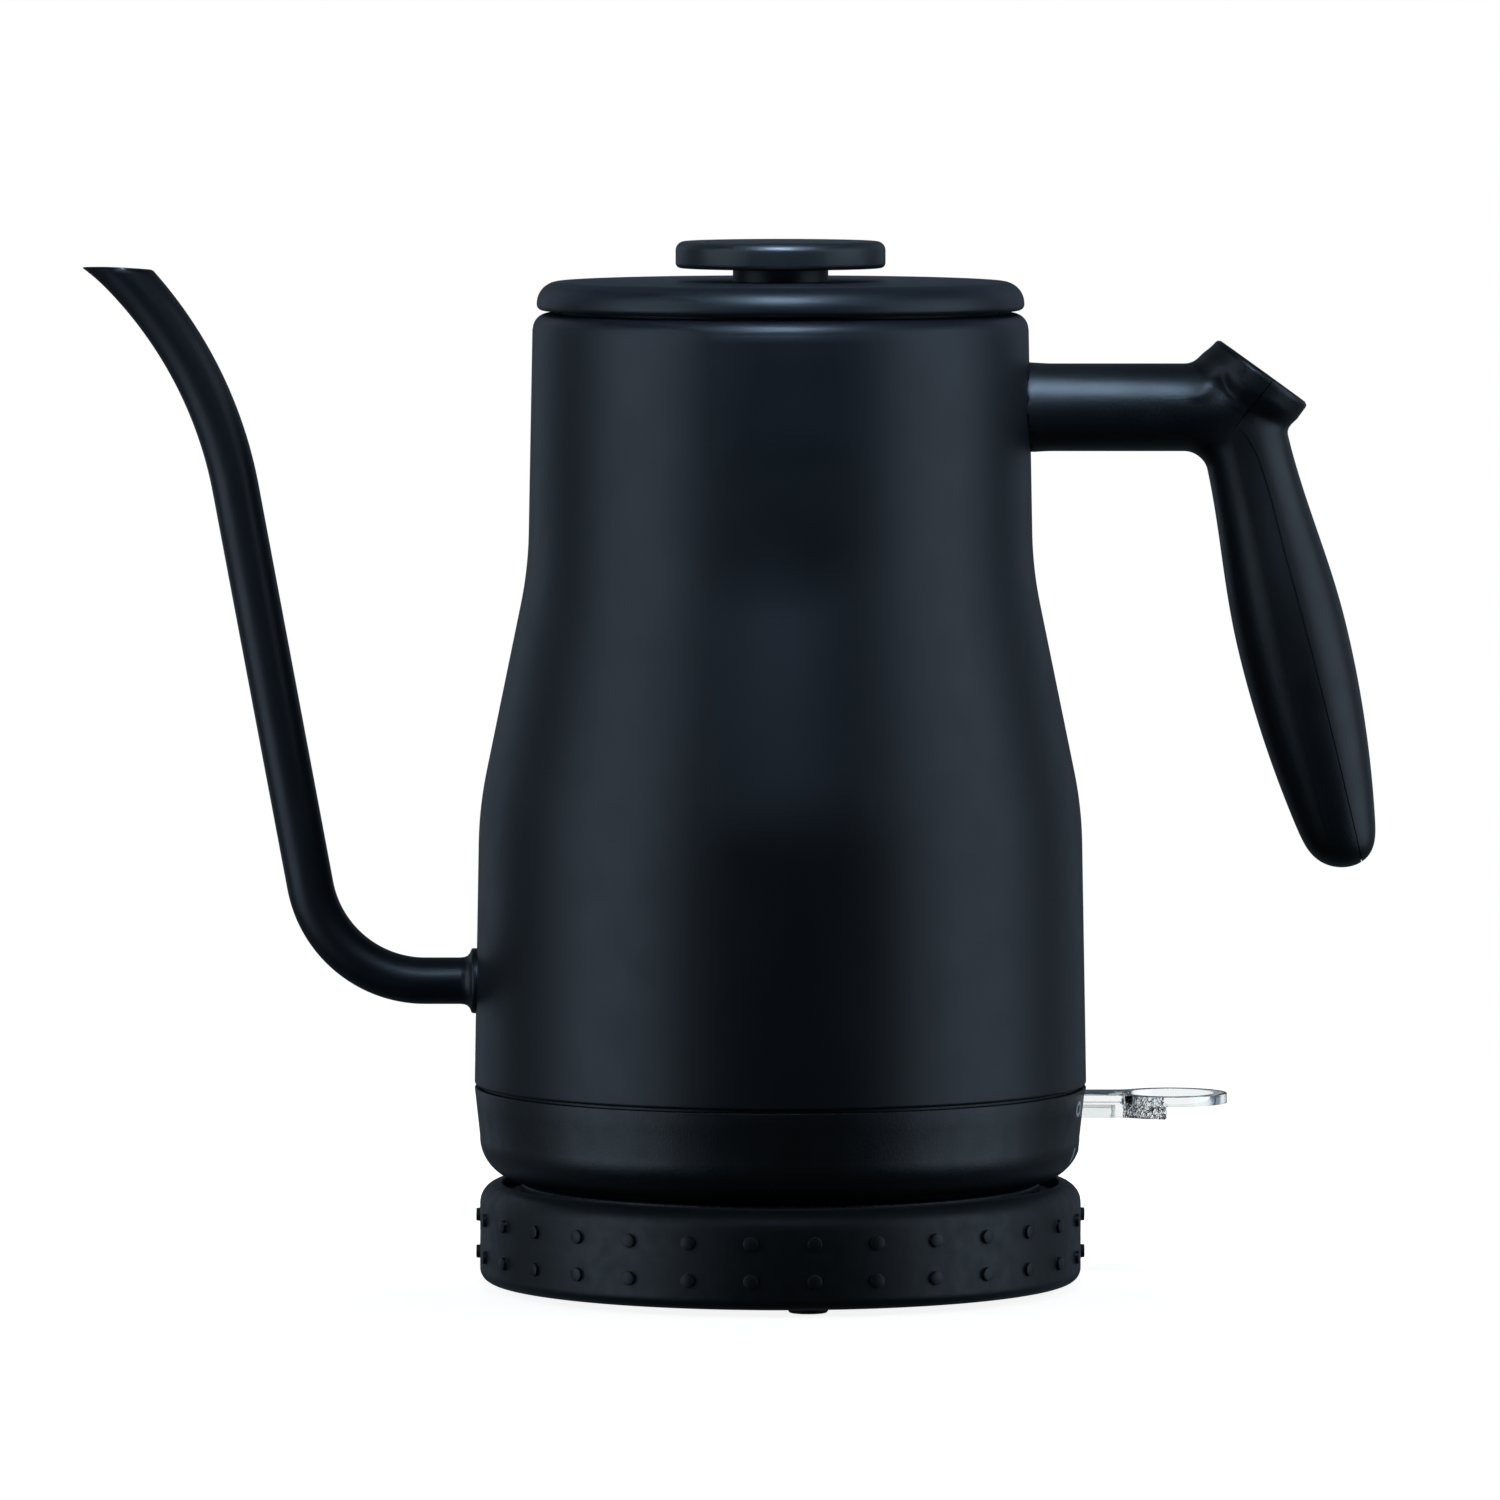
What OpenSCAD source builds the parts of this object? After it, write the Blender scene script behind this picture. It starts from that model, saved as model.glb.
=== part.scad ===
// Electric gooseneck kettle on a round power base.
// Origin: base axis on the counter. +Z up, +X towards the handle, -X towards the spout.

/* [Vessel] */
// Outer radius of the body at the seam above the collar
seam_r = 64.3; // [62:0.1:66]
// Height of the seam between the body and the collar
seam_z = 42.5; // [41.5:0.1:43]
// Outer radius of the body near its rim
rim_r = 52; // [51.5:0.1:53]
// Height of the rim
rim_z = 205; // [204:0.5:206]
// Height where the waist's upper curve is centred
waist_top_z = 151.4; // [148:0.5:155]
// Height where the waist's lower curve is centred
waist_low_z = 101.3; // [98:0.5:105]
// Thickness of the steel wall
wall = 0.8; // [0.6:0.1:1.2]
// Height of the vessel's steel floor
floor_z = 48; // [47.5:0.1:49]

/* [Spout] */
// Outer radius of the spout tube
spout_r = 4.9; // [4.5:0.1:5.2]
// Height of the spout's outlet from the body
spout_z = 64.6; // [62:0.1:70]
// Radius of the spout's lower bend
spout_bend_low = 24.5; // [22:0.5:28]
// Radius of the spout's upper bend
spout_bend_top = 88; // [80:1:95]
// Lean of the spout's straight run from the vertical
spout_lean = 10.5; // [8:0.5:13]
// Length of the spout's straight run
spout_run = 84.9; // [80:0.1:88]
// Height of the pouring mouth
mouth_z = 214.4; // [210:0.1:216]

/* [Handle] */
// Height of the handle's horizontal arm
arm_z = 185.2; // [180:0.1:188]
// Radius of the arm
arm_r = 9.2; // [8.5:0.1:10]
// Distance from the kettle's axis to the handle's elbow
elbow_x = 95.7; // [92:0.1:98]
// Lean of the grip from the vertical
grip_lean = 13.6; // [10:0.1:16]
// Length of the grip along its axis
grip_l = 99.4; // [95:0.1:102]
// Largest radius of the grip
grip_r = 11.65; // [10.5:0.05:12.5]
// Tilt of the flat thumb rest from the horizontal
thumb_tilt = 35.8; // [32:0.1:40]

/* [Lid] */
// Radius of the lid
lid_r = 51.1; // [50:0.1:51.5]
// Thickness of the lid's cap
lid_t = 6; // [5:0.1:7]
// Radius of the knob
knob_r = 22; // [18:0.5:25]
// Height of the knob's disc
knob_t = 5.6; // [4.5:0.1:7]

/* [Switch] */
// Radius of the finger hole in the lever
finger_r = 9.1; // [8:0.1:9.5]
// Distance from the kettle's axis to the finger hole
finger_x = 82.1; // [81:0.1:84]
// Width of the lever
lever_w = 14.5; // [12:0.1:14.8]

/* [Base] */
// Outer radius of the base's rubber band
base_r = 63.2; // [62:0.1:65]
// Number of studs round the band, in each row
studs = 30; // [24:1:36]
// Height of the studs above the band
stud_h = 0.8; // [0.5:0.1:1]
// Radius of each stud
stud_r = 1.4; // [1:0.05:1.6]
// Radius of the cord's hole in the gland
cord_r = 3.3; // [3:0.1:3.6]

/* [Hidden] */
$fn = 96;

// Gap left round fitted pieces of one assembly
fit = 0.05;
// Heights of the base's pieces
deck_z = 22.4;
band_z = 22.3;
plate_t = 2;
foot_h = 1.5;
// Angle of the first stud and of the foot at the front
front_a = -83.7;
// Radius of the feet's circle and of one foot
feet_ring = 51;
foot_r = 4.4;
// Clear space between the connector and its socket
socket_gap = 0.6;
dome_r = 17.4;
dome_z = 30.6;
socket_r = 22.5;
// Lower edge of the collar and the radius of its rounded foot
collar_z = 23;
collar_round = 9;
collar_wall = 2;
// The lever's pivot
pivot_x = 44;
pivot_z = 37;
axle_r = 1;
// The steam tube
steam_x = 45.6;
steam_r = 3.5;
steam_top = 189;
// The elbow's thumb rest
thumb_r = 11.65;
thumb_h = 9.3;
grip_wall = 2.6;
// Height of the lid's underside
lid_z = rim_z + 0.6;
knob_z = lid_z + lid_t;
stem_h = 2.8;

// ---------- helpers ----------

// Points of an arc in a plane, from one angle to another
function arc(c, r, a0, a1, n) =
    [for (i = [0 : n]) let (a = a0 + (a1 - a0) * i / n) [c[0] + r * cos(a), c[1] + r * sin(a)]];

// Outer outline of the body's side, from the seam to the rim, as a smooth curve
side_n = 44;
low_slope = 0.018;
top_slope = 0.019;
mid_slope = 0.2055;
blend_h = 7.5;
waist_top_r = rim_r + (202 - waist_top_z) * top_slope;
function softstep(d, h) = d <= -h ? 0 : d >= h ? d : (d + h) * (d + h) / (4 * h);
// Outer radius of the body at a height
function side_r(z) =
    waist_top_r - (z - waist_top_z) * top_slope
    + (mid_slope - top_slope) * softstep(waist_top_z - z, blend_h)
    - (mid_slope - low_slope) * softstep(waist_low_z - z, blend_h);
function side_line(z0, z1, inset) =
    [for (i = [0 : side_n]) let (z = z0 + (z1 - z0) * i / side_n) [side_r(z) - inset, z]];

module turn(points) rotate_extrude($fn = 180) polygon(points);

// A ring between two radii and two heights
module ring(r0, r1, z0, z1) turn([[r0, z0], [r1, z0], [r1, z1], [r0, z1]]);

// Copies the children round the axis
module round_axis(n, start = 0) {
    for (i = [0 : n - 1]) rotate([0, 0, start + i * 360 / n]) children();
}

// The body's outside as a solid, used to seat parts on its wall
module body_solid() {
    side = side_line(seam_z - 1, rim_z, 0);
    turn(concat([[0, seam_z - 1]], side, [[0, rim_z]]));
}

// A screw standing along +Z, head at the bottom
module screw(shank_r, shank_l, head_r, head_h) {
    cylinder(r = head_r, h = head_h, $fn = 32);
    translate([0, 0, head_h]) cylinder(r = shank_r, h = shank_l, $fn = 32);
}

// ---------- power base ----------

module foot_places() round_axis(4, front_a) translate([feet_ring, 0, 0]) children();

module base_screw_places() round_axis(3, 20) translate([34, 0, 0]) children();

module base_bottom() {
    color("#1b1d1f") difference() {
        translate([0, 0, foot_h]) cylinder(r = 58, h = plate_t, $fn = 180);
        foot_places() cylinder(r = 2.5, h = 10, $fn = 48);
        base_screw_places() cylinder(r = 1.7, h = 10, $fn = 48);
    }
}

module base_shell() {
    boss_z = foot_h + plate_t;
    // A groove runs round the raised deck, inside the band
    deck_r = 54.5;
    groove_z = 20;
    color("#202325") difference() {
        union() {
            turn([
                [18.2, groove_z], [deck_r - 2, groove_z], [deck_r - 2, groove_z - 2],
                [56.4, groove_z - 2], [56.4, boss_z], [58.2, boss_z], [58.2, foot_h],
                [60.15, foot_h], [60.15, 19.75], [58.35, 19.75], [58.35, groove_z], [deck_r, groove_z],
                [deck_r, deck_z], [18.2, deck_z],
            ]);
            base_screw_places() translate([0, 0, boss_z]) cylinder(r = 3.4, h = 20.5 - boss_z, $fn = 48);
        }
        base_screw_places() cylinder(r = 1.25, h = 14, $fn = 48);
        gland_axis() cylinder(r = 5.1, h = 20, $fn = 64);
    }
}

// Puts the children's Z axis along +Y, at the cord's outlet at the back
gland_z = 11.45;
module gland_axis() translate([0, 50, gland_z]) rotate([-90, 0, 0]) children();

module base_band() {
    shoulder = 4.6;
    corner = 3.2;
    stud_z = [7.55, 15.35];
    color("#17191b") difference() {
        union() {
            // Turned so that the seam of its surface lies between two studs
            rotate([0, 0, front_a + 180 / studs]) turn(concat(
                [[60.25, foot_h]],
                arc([base_r - corner, foot_h + corner], corner, -90, 0, 8),
                arc([base_r - shoulder, band_z - shoulder], shoulder, 0, 90, 10),
                [[58.45, band_z], [58.45, 19.85], [60.25, 19.85]]
            ));
            for (z = stud_z) for (i = [0 : studs - 1]) {
                a = front_a + i * 360 / studs;
                // No studs where the cord's gland comes out
                if (abs(a - 90) > 9) {
                    rotate([0, 0, a]) translate([61.5, 0, z]) rotate([0, 90, 0])
                        cylinder(r = stud_r, h = base_r + stud_h - 61.5, $fn = 24);
                }
            }
        }
        gland_axis() cylinder(r = 5.1, h = 20, $fn = 64);
    }
}

module base_feet() {
    color("#101112") foot_places() {
        cylinder(r = foot_r, h = foot_h, $fn = 64);
        cylinder(r = 2.45, h = foot_h + plate_t + 0.8, $fn = 48);
    }
}

module base_screws() {
    color("silver") base_screw_places() translate([0, 0, foot_h - 1.3]) screw(1.2, 9, 3, 1.3);
}

module base_connector() {
    color("#0e0f10") difference() {
        turn(concat(
            [[0, 17.6], [23, 17.6], [23, 20], [17.9, 20], [17.9, deck_z], [dome_r, deck_z]],
            arc([dome_r - 2.5, dome_z - 2.5], 2.5, 0, 90, 8),
            [[0, dome_z]]
        ));
        // Grooves for the two ring contacts and the hole for the centre pin
        ring(6.2, 7.8, 25, 40);
        ring(11.2, 12.8, 25, 40);
        translate([0, 0, 10]) cylinder(r = 1.5, h = 30, $fn = 48);
    }
}

module connector_contacts() {
    color("goldenrod") {
        translate([0, 0, 12.4]) cylinder(r = 1.45, h = 19.4, $fn = 48);
        ring(6.4, 6.9, 25, 29.6);
        ring(12.0, 12.6, 25, 29.6);
    }
}

module terminal_block() {
    color("ivory") difference() {
        translate([-11, 30, foot_h + plate_t]) cube([22, 12, 10.5]);
        for (x = [-6.5, 0, 6.5]) translate([x, 20, 9]) rotate([-90, 0, 0]) cylinder(r = 1.6, h = 30, $fn = 32);
    }
}

module cord_gland() {
    color("#141516") gland_axis() difference() {
        union() {
            translate([0, 0, 5]) cylinder(r = 5, h = 8.6, $fn = 96);
            translate([0, 0, 3.4]) cylinder(r = 6.2, h = 2.2, $fn = 96);
        }
        cylinder(r = cord_r, h = 30, $fn = 96);
    }
}

// ---------- socket under the kettle ----------

module connector_socket() {
    inner = dome_r + socket_gap + 0.3;
    roof = 33.4;
    color("#121314") difference() {
        turn([
            [inner, 23.8], [socket_r, 23.8], [socket_r, 36.2], [0, 36.2],
            [0, roof], [inner - 1, roof], [inner, roof - 1],
        ]);
        translate([0, 0, 20]) cylinder(r = 2.0, h = 40, $fn = 64);
    }
}

module socket_contacts() {
    color("goldenrod") {
        difference() {
            translate([0, 0, 32.2]) cylinder(r = 1.95, h = 4, $fn = 64);
            translate([0, 0, 20]) cylinder(r = 1.6, h = 30, $fn = 64);
        }
        ring(7.2, 7.5, 30.9, 33.4);
        ring(11.4, 11.7, 30.9, 33.4);
    }
}

// ---------- vessel ----------

module kettle_body() {
    low_z = seam_z + 0.5;
    shoulder = 3.4;
    shelf_r = 48.2;
    shelf_h = 6;
    c = [side_r(rim_z) - shoulder, rim_z - shoulder];
    color("#20242c") difference() {
        turn(concat(
            side_line(low_z, c[1], 0),
            arc(c, shoulder, 5, 90, 12),
            [[shelf_r, rim_z], [shelf_r, rim_z - shelf_h], [shelf_r + wall, rim_z - shelf_h]],
            arc(c, shoulder - wall, 79, 5, 10),
            side_line(c[1], low_z, wall)
        ));
        translate([-50, 0, spout_z]) rotate([0, -90, 0]) cylinder(r = spout_r + fit, h = 20, $fn = 96);
    }
}

module vessel_floor() {
    color("silver") difference() {
        turn([
            [0, floor_z], [side_r(floor_z) - wall - fit, floor_z],
            [side_r(floor_z) - wall - fit - 0.05, floor_z + 0.8], [0, floor_z + 0.8],
        ]);
        translate([steam_x, 0, 0]) cylinder(r = steam_r + fit, h = 90, $fn = 64);
    }
}

// The spout's tube: level from the body, a bend, a straight run, and a wide bend to the mouth
module spout_sweep(r, hole_r, start_x) {
    bend_x = -74.7;
    low_c = [bend_x, spout_z + spout_bend_low];
    run_x = low_c[0] - spout_bend_low * cos(spout_lean);
    run_z = low_c[1] - spout_bend_low * sin(spout_lean);
    top_x = run_x - spout_run * sin(spout_lean);
    top_z = run_z + spout_run * cos(spout_lean);
    // The straight pipes run a little way inside the bends, which are a hair thicker
    lap = 0.3;
    skin = 0.02;
    translate([start_x, 0, spout_z]) rotate([0, -90, 0]) pipe(r, hole_r, start_x - bend_x + lap);
    translate([low_c[0], 0, low_c[1]]) rotate([90, 0, 0]) rotate([0, 0, 180 + spout_lean])
        bent_pipe(r + skin, hole_r - skin, spout_bend_low, 90 - spout_lean);
    translate([run_x, 0, run_z]) rotate([0, -spout_lean, 0])
        translate([0, 0, -lap]) pipe(r, hole_r, spout_run + 2 * lap);
    translate([top_x - spout_bend_top * cos(spout_lean), 0, top_z - spout_bend_top * sin(spout_lean)])
        rotate([90, 0, 0]) rotate([0, 0, spout_lean])
            bent_pipe(r + skin, hole_r - skin, spout_bend_top, 42);
}

module pipe(r, hole_r, length) linear_extrude(length) difference() {
    circle(r = r, $fn = 96);
    circle(r = hole_r, $fn = 96);
}

module bent_pipe(r, hole_r, bend_r, angle) rotate_extrude(angle = angle, $fn = 180)
    translate([bend_r, 0]) difference() {
        circle(r = r, $fn = 96);
        circle(r = hole_r, $fn = 96);
    }

module spout() {
    color("#20242c") difference() {
        spout_sweep(spout_r, spout_r - wall, -62.4);
        // The mouth is cut nearly level, a little higher at its tip
        translate([-138.5, 0, mouth_z]) rotate([0, 3, 0]) translate([-40, -20, 0]) cube([60, 40, 40]);
    }
}

module spout_flange() {
    color("#20242c") difference() {
        translate([-60, 0, spout_z]) rotate([0, -90, 0]) union() {
            cylinder(r = 6.85, h = 4.6, $fn = 96);
            translate([0, 0, 4.6]) cylinder(r1 = 6.4, r2 = 5.3, h = 0.8, $fn = 96);
        }
        translate([-50, 0, spout_z]) rotate([0, -90, 0]) cylinder(r = spout_r + fit, h = 30, $fn = 96);
        body_solid();
    }
}

module steam_tube() {
    color("silver") difference() {
        translate([steam_x, 0, floor_z - 2]) cylinder(r = steam_r, h = steam_top - floor_z + 2, $fn = 64);
        translate([steam_x, 0, 0]) cylinder(r = steam_r - 0.7, h = 300, $fn = 64);
    }
}

module heat_spreader() {
    color("lightgray") difference() {
        translate([0, 0, floor_z - 2.6]) cylinder(r = 40, h = 2.6, $fn = 180);
        translate([0, 0, floor_z - 3]) cylinder(r = 12, h = 1.2, $fn = 96);
    }
}

module heating_element() {
    element_r = 3.2;
    element_ring = 33;
    z = floor_z - 2.6 - element_r - fit;
    color("dimgray") {
        translate([0, 0, z]) rotate([0, 0, 130]) rotate_extrude(angle = 280, $fn = 180)
            translate([element_ring, 0]) circle(r = element_r, $fn = 48);
        // Cold pins that drop from the two ends
        for (a = [133, 47]) rotate([0, 0, a]) translate([element_ring, 0, z - 10])
            cylinder(r = 1.4, h = 9, $fn = 32);
    }
}

module control_unit() {
    color("ivory") difference() {
        turn([
            [0, 36.8], [21, 36.8], [26, 39], [26, 43.4], [12, 43.4], [12, 44.8], [0, 44.8],
        ]);
        for (a = [30, 150, 270]) rotate([0, 0, a]) translate([22.6, 0, 30]) cylinder(r = 1.2, h = 20, $fn = 32);
    }
}

module bimetal_disc() {
    color("tan") turn([[0, 45.3], [11, 44.9], [11, 45.3], [0, 45.7]]);
}

module steam_switch() {
    color("dimgray") difference() {
        translate([40.4, -7.5, 40.4]) cube([12.4, 15, 5.5]);
        translate([steam_x, 0, 42]) cylinder(r = steam_r + fit, h = 10, $fn = 64);
    }
}

// ---------- collar and underside ----------

// The slot that the lever moves in
module lever_slot() {
    slot_w = 15.5;
    slot_low = 29.2;
    translate([55, -slot_w / 2, slot_low]) cube([12, slot_w, 42 - slot_low]);
}

module cover_screw_places() round_axis(3, 60) translate([47, 0, 0]) children();

module collar() {
    c = [54.2, 32];
    skirt_z = seam_z + 3.6;
    color("#191c1e") difference() {
        union() {
            turn(concat(
                [[52, collar_z]],
                arc(c, collar_round, -90, 2, 14),
                [
                    [seam_r, seam_z], [62.9, seam_z], [62.7, skirt_z], [60.8, skirt_z],
                    [60.8, seam_z],
                ],
                arc(c, collar_round - collar_wall, 2, -90, 14),
                [[52, collar_z + collar_wall]]
            ));
            cover_screw_places() {
                translate([0, 0, 27.1]) cylinder(r = 3.6, h = 11, $fn = 48);
                translate([2.6, -0.9, 30]) cube([13, 1.8, 8.1]);
            }
        }
        cover_screw_places() translate([0, 0, 27]) cylinder(r = 1.25, h = 9, $fn = 48);
        lever_slot();
    }
}

module collar_seal() {
    color("#2a2a2a") ring(59.2, 62.6, seam_z + 3.65, floor_z - fit);
}

module bottom_cover() {
    color("#15181a") difference() {
        turn([
            [24.4, 23.8], [51.8, 23.8], [51.8, 25.05], [54.1, 25.05], [54.1, 27], [24.4, 27],
        ]);
        cover_screw_places() {
            cylinder(r = 1.7, h = 40, $fn = 48);
            translate([0, 0, 20]) cylinder(r = 3.2, h = 5.2, $fn = 48);
        }
    }
}

module cover_screws() {
    color("silver") cover_screw_places() translate([0, 0, 23.9]) screw(1.2, 10, 3, 1.3);
}

// ---------- switch ----------

module switch_bracket() {
    plate_z = 27;
    ear_t = 2;
    color("dimgray") difference() {
        union() {
            translate([38.5, -9.6, plate_z]) cube([18, 19.2, 1.8]);
            for (y = [-9.6, 9.6 - ear_t]) translate([40.4, y, plate_z]) cube([7.2, ear_t, 12.8]);
        }
        pivot_axis() translate([0, 0, -15]) cylinder(r = axle_r + 0.02, h = 30, $fn = 48);
        for (y = [-6, 6]) translate([54, y, 20]) cylinder(r = 1.1, h = 20, $fn = 32);
        translate([50, 0, 20]) cylinder(r = 1.55, h = 20, $fn = 32);
    }
}

module bracket_screws() {
    color("silver") for (y = [-6, 6]) translate([54, y, 28.85 + 1.2]) mirror([0, 0, 1]) screw(1.05, 1.7, 2, 1.2);
}

module pivot_axis() translate([pivot_x, 0, pivot_z]) rotate([-90, 0, 0]) children();

module switch_axle() {
    color("silver") pivot_axis() translate([0, 0, -9.6]) cylinder(r = axle_r, h = 19.2, $fn = 48);
}

module indicator_led() {
    color("orange") {
        translate([50, 0, 27.1]) cylinder(r = 1.5, h = 4, $fn = 32);
        translate([50, 0, 31.1]) sphere(r = 1.5, $fn = 32);
    }
}

lever_top = 41;
lever_plate = 2;
lever_low = 36.3;
carrier_x = 57.5;

module switch_carrier() {
    color("#222222") difference() {
        union() {
            pivot_axis() translate([0, 0, -7]) cylinder(r = 2.6, h = 14, $fn = 64);
            translate([pivot_x, -5.5, 35.2]) cube([carrier_x - pivot_x, 11, 3.4]);
        }
        pivot_axis() translate([0, 0, -15]) cylinder(r = axle_r + 0.06, h = 30, $fn = 64);
    }
}

module switch_lever() {
    ring_r = 11.8;
    skirt_end = 81.6;
    low_t = lever_top - lever_plate;
    color("#dfe6e8", 0.5) difference() {
        union() {
            translate([carrier_x, -lever_w / 2, lever_low]) cube([4, lever_w, lever_top - lever_low]);
            translate([carrier_x, -lever_w / 2, low_t]) cube([finger_x - carrier_x, lever_w, lever_plate]);
            translate([finger_x, 0, low_t]) cylinder(r = ring_r, h = lever_plate, $fn = 96);
            // Skirt under the arm, hollow from below
            translate([carrier_x, -lever_w / 2, lever_low]) cube([skirt_end - carrier_x, 1.8, 3]);
            translate([carrier_x, lever_w / 2 - 1.8, lever_low]) cube([skirt_end - carrier_x, 1.8, 3]);
            translate([finger_x, 0, lever_low]) cylinder(r = ring_r - 1, h = 3, $fn = 96);
        }
        translate([finger_x, 0, 0]) cylinder(r = finger_r, h = 90, $fn = 96);
        translate([skirt_end, -20, 30]) cube([20, 40, low_t - 30]);
    }
}

// ---------- handle ----------

thumb_n = [sin(thumb_tilt), cos(thumb_tilt)];

// A point in the grip's own frame: u across it, t down it from the elbow
function grip_pt(u, t) = [
    elbow_x + u * cos(grip_lean) + t * sin(grip_lean),
    arm_z + u * sin(grip_lean) - t * cos(grip_lean),
];

// Radius of the grip down its length
neck_t = 8;
neck_r = arm_r - 0.15;
belly_t = 50;
tail_t = 87;
tail_r = 8.9;
function grip_end(t) = t < tail_t - 1 ? 1 : sqrt(max(0, 1 - pow((t - tail_t + 1) / (grip_l - tail_t + 1), 4)));
function grip_radius(t) = grip_end(t) * (
    t < belly_t
    ? neck_r + (grip_r - neck_r) * pow(sin(90 * max(0, t - neck_t) / (belly_t - neck_t)), 2)
    : grip_r - (grip_r - tail_r) * pow((t - belly_t) / (tail_t - belly_t), 2)
);

module grip_turn(inset, t0, t1) {
    n = 32;
    translate([elbow_x, 0, arm_z]) rotate([0, -grip_lean, 0]) turn(concat(
        [[0, -t0]],
        [for (i = [0 : n - 1]) let (t = t0 + (t1 - t0) * sin(90 * i / n)) [grip_radius(t) - inset, -t]],
        inset > 0 ? [[grip_radius(t1) - inset, -t1]] : [],
        [[0, -t1]]
    ));
}

module thumb_rest() {
    edge = 1;
    translate([elbow_x, 0, arm_z]) rotate([0, thumb_tilt, 0]) turn(concat(
        [[0, -2], [arm_r, 0], [arm_r + 0.5, 2.2], [thumb_r - 0.3, 4.6], [thumb_r, 5.6]],
        arc([thumb_r - edge, thumb_h - edge], edge, 0, 90, 6),
        [[0, thumb_h]]
    ));
}

// The whole handle, with the arm reaching back to the kettle's wall
module handle_solid() {
    translate([48, 0, arm_z]) rotate([0, 90, 0]) cylinder(r = arm_r, h = elbow_x - 48, $fn = 96);
    translate([50, 0, arm_z]) rotate([0, 90, 0]) cylinder(r1 = arm_r + 0.7, r2 = arm_r + 0.02, h = 7, $fn = 96);
    translate([elbow_x, 0, arm_z]) sphere(r = arm_r + 0.3, $fn = 96);
    thumb_rest();
    grip_turn(0, 0, grip_l);
}

// Hollow space inside the handle
module handle_hollow() {
    translate([40, 0, arm_z]) rotate([0, 90, 0]) cylinder(r = arm_r - grip_wall, h = elbow_x - 40, $fn = 96);
    translate([elbow_x, 0, arm_z]) sphere(r = arm_r + 0.4 - grip_wall, $fn = 96);
    grip_turn(grip_wall, 0, grip_l - 5);
}

// The side of the seam that the back cover is on
module back_side() {
    top = [elbow_x + 7.2 + 6 * thumb_n[0], arm_z + 5.7 + 6 * thumb_n[1]];
    rotate([90, 0, 0]) translate([0, 0, -30]) linear_extrude(60) polygon([
        top, grip_pt(-1.4, 3.6), grip_pt(2, 13), grip_pt(3.2, 75), grip_pt(3.2, 120),
        [180, 60], [180, 230], [top[0] + 10, 230],
    ]);
}

// The back cover snaps on with two pins across the grip, at these distances from the elbow
pin_t = [26, 80];
pin_r = 2;
module pin_places() {
    for (t = pin_t) {
        p = grip_pt(0, t);
        translate([p[0], 0, p[1]]) rotate([0, 90 - grip_lean, 0]) children();
    }
}

module pin_bosses() {
    reach = grip_r - 3;
    pin_places() translate([0, 0, -reach]) cylinder(r = 4, h = 2 * reach, $fn = 48);
}

// A wall across the arm, which the bolt pulls against the bracket's end
bulkhead_x = 86.3;
bulkhead_t = 3;
module arm_axis(x) translate([x, 0, arm_z]) rotate([0, 90, 0]) children();

module hollow_handle() {
    difference() {
        handle_solid();
        handle_hollow();
    }
    pin_bosses();
}

module handle_front() {
    color("#1a1d1f") difference() {
        union() {
            hollow_handle();
            arm_axis(bulkhead_x) cylinder(r = arm_r - grip_wall + 0.4, h = bulkhead_t, $fn = 64);
        }
        back_side();
        body_solid();
        arm_axis(bulkhead_x - 1) cylinder(r = 1.7, h = bulkhead_t + 2, $fn = 48);
        pin_places() translate([0, 0, -4.5]) cylinder(r = pin_r + fit, h = 12, $fn = 48);
    }
}

module handle_back() {
    color("#1a1d1f") {
        intersection() {
            hollow_handle();
            back_side();
        }
        pin_places() translate([0, 0, -4]) cylinder(r = pin_r, h = 9, $fn = 48);
    }
}

module handle_bolt() {
    color("silver") arm_axis(bulkhead_x + bulkhead_t + fit + 2.5) mirror([0, 0, 1]) screw(1.2, 11, 3, 2.5);
}

// An open channel with a thick end that the bolt screws into
module handle_bracket() {
    side = 8;
    wall_t = 1.4;
    start = 48;
    block_x = 79;
    color("silver") difference() {
        union() {
            translate([start, -side / 2, arm_z - side / 2]) cube([bulkhead_x - 0.1 - start, side, side]);
            arm_axis(start) cylinder(r = 6.2, h = 6, $fn = 64);
        }
        translate([start + 7, wall_t - side / 2, arm_z - side / 2 - 1])
            cube([block_x - start - 7, side - 2 * wall_t, side + 1 - wall_t]);
        arm_axis(block_x - 3) cylinder(r = 1.25, h = 12, $fn = 48);
        body_solid();
    }
}

// ---------- lid ----------

module lid_cap() {
    edge = 4.6;
    low = 1.2;
    skin = 1.4;
    inner_r = lid_r - skin;
    color("#20242c") difference() {
        turn(concat(
            [[inner_r, lid_z]],
            arc([lid_r - low, lid_z + low], low, -90, 0, 5),
            arc([lid_r - edge, knob_z - edge], edge, 0, 90, 12),
            [[0, knob_z], [0, knob_z - skin], [inner_r - 2, knob_z - skin], [inner_r, knob_z - skin - 2]]
        ));
        cylinder(r = 2.2, h = 300, $fn = 48);
    }
}

module lid_plug() {
    plug_r = 45.5;
    low_z = rim_z - 9;
    color("#1a1d1f") turn([
        [0, low_z], [plug_r - 1, low_z], [plug_r, low_z + 1], [plug_r, lid_z + 0.2],
        [lid_r - 1.6, lid_z + 0.2], [lid_r - 1.6, lid_z + 1.6], [plug_r - 1.6, lid_z + 1.6],
        [plug_r - 1.6, low_z + 1.4], [0, low_z + 1.4],
    ]);
}

module lid_seal() {
    color("#3a3a3a") turn([
        [45.55, rim_z - 6], [46.6, rim_z - 6], [47.6, rim_z - 4.4], [46.6, rim_z - 2.8], [45.55, rim_z - 2.8],
    ]);
}

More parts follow.
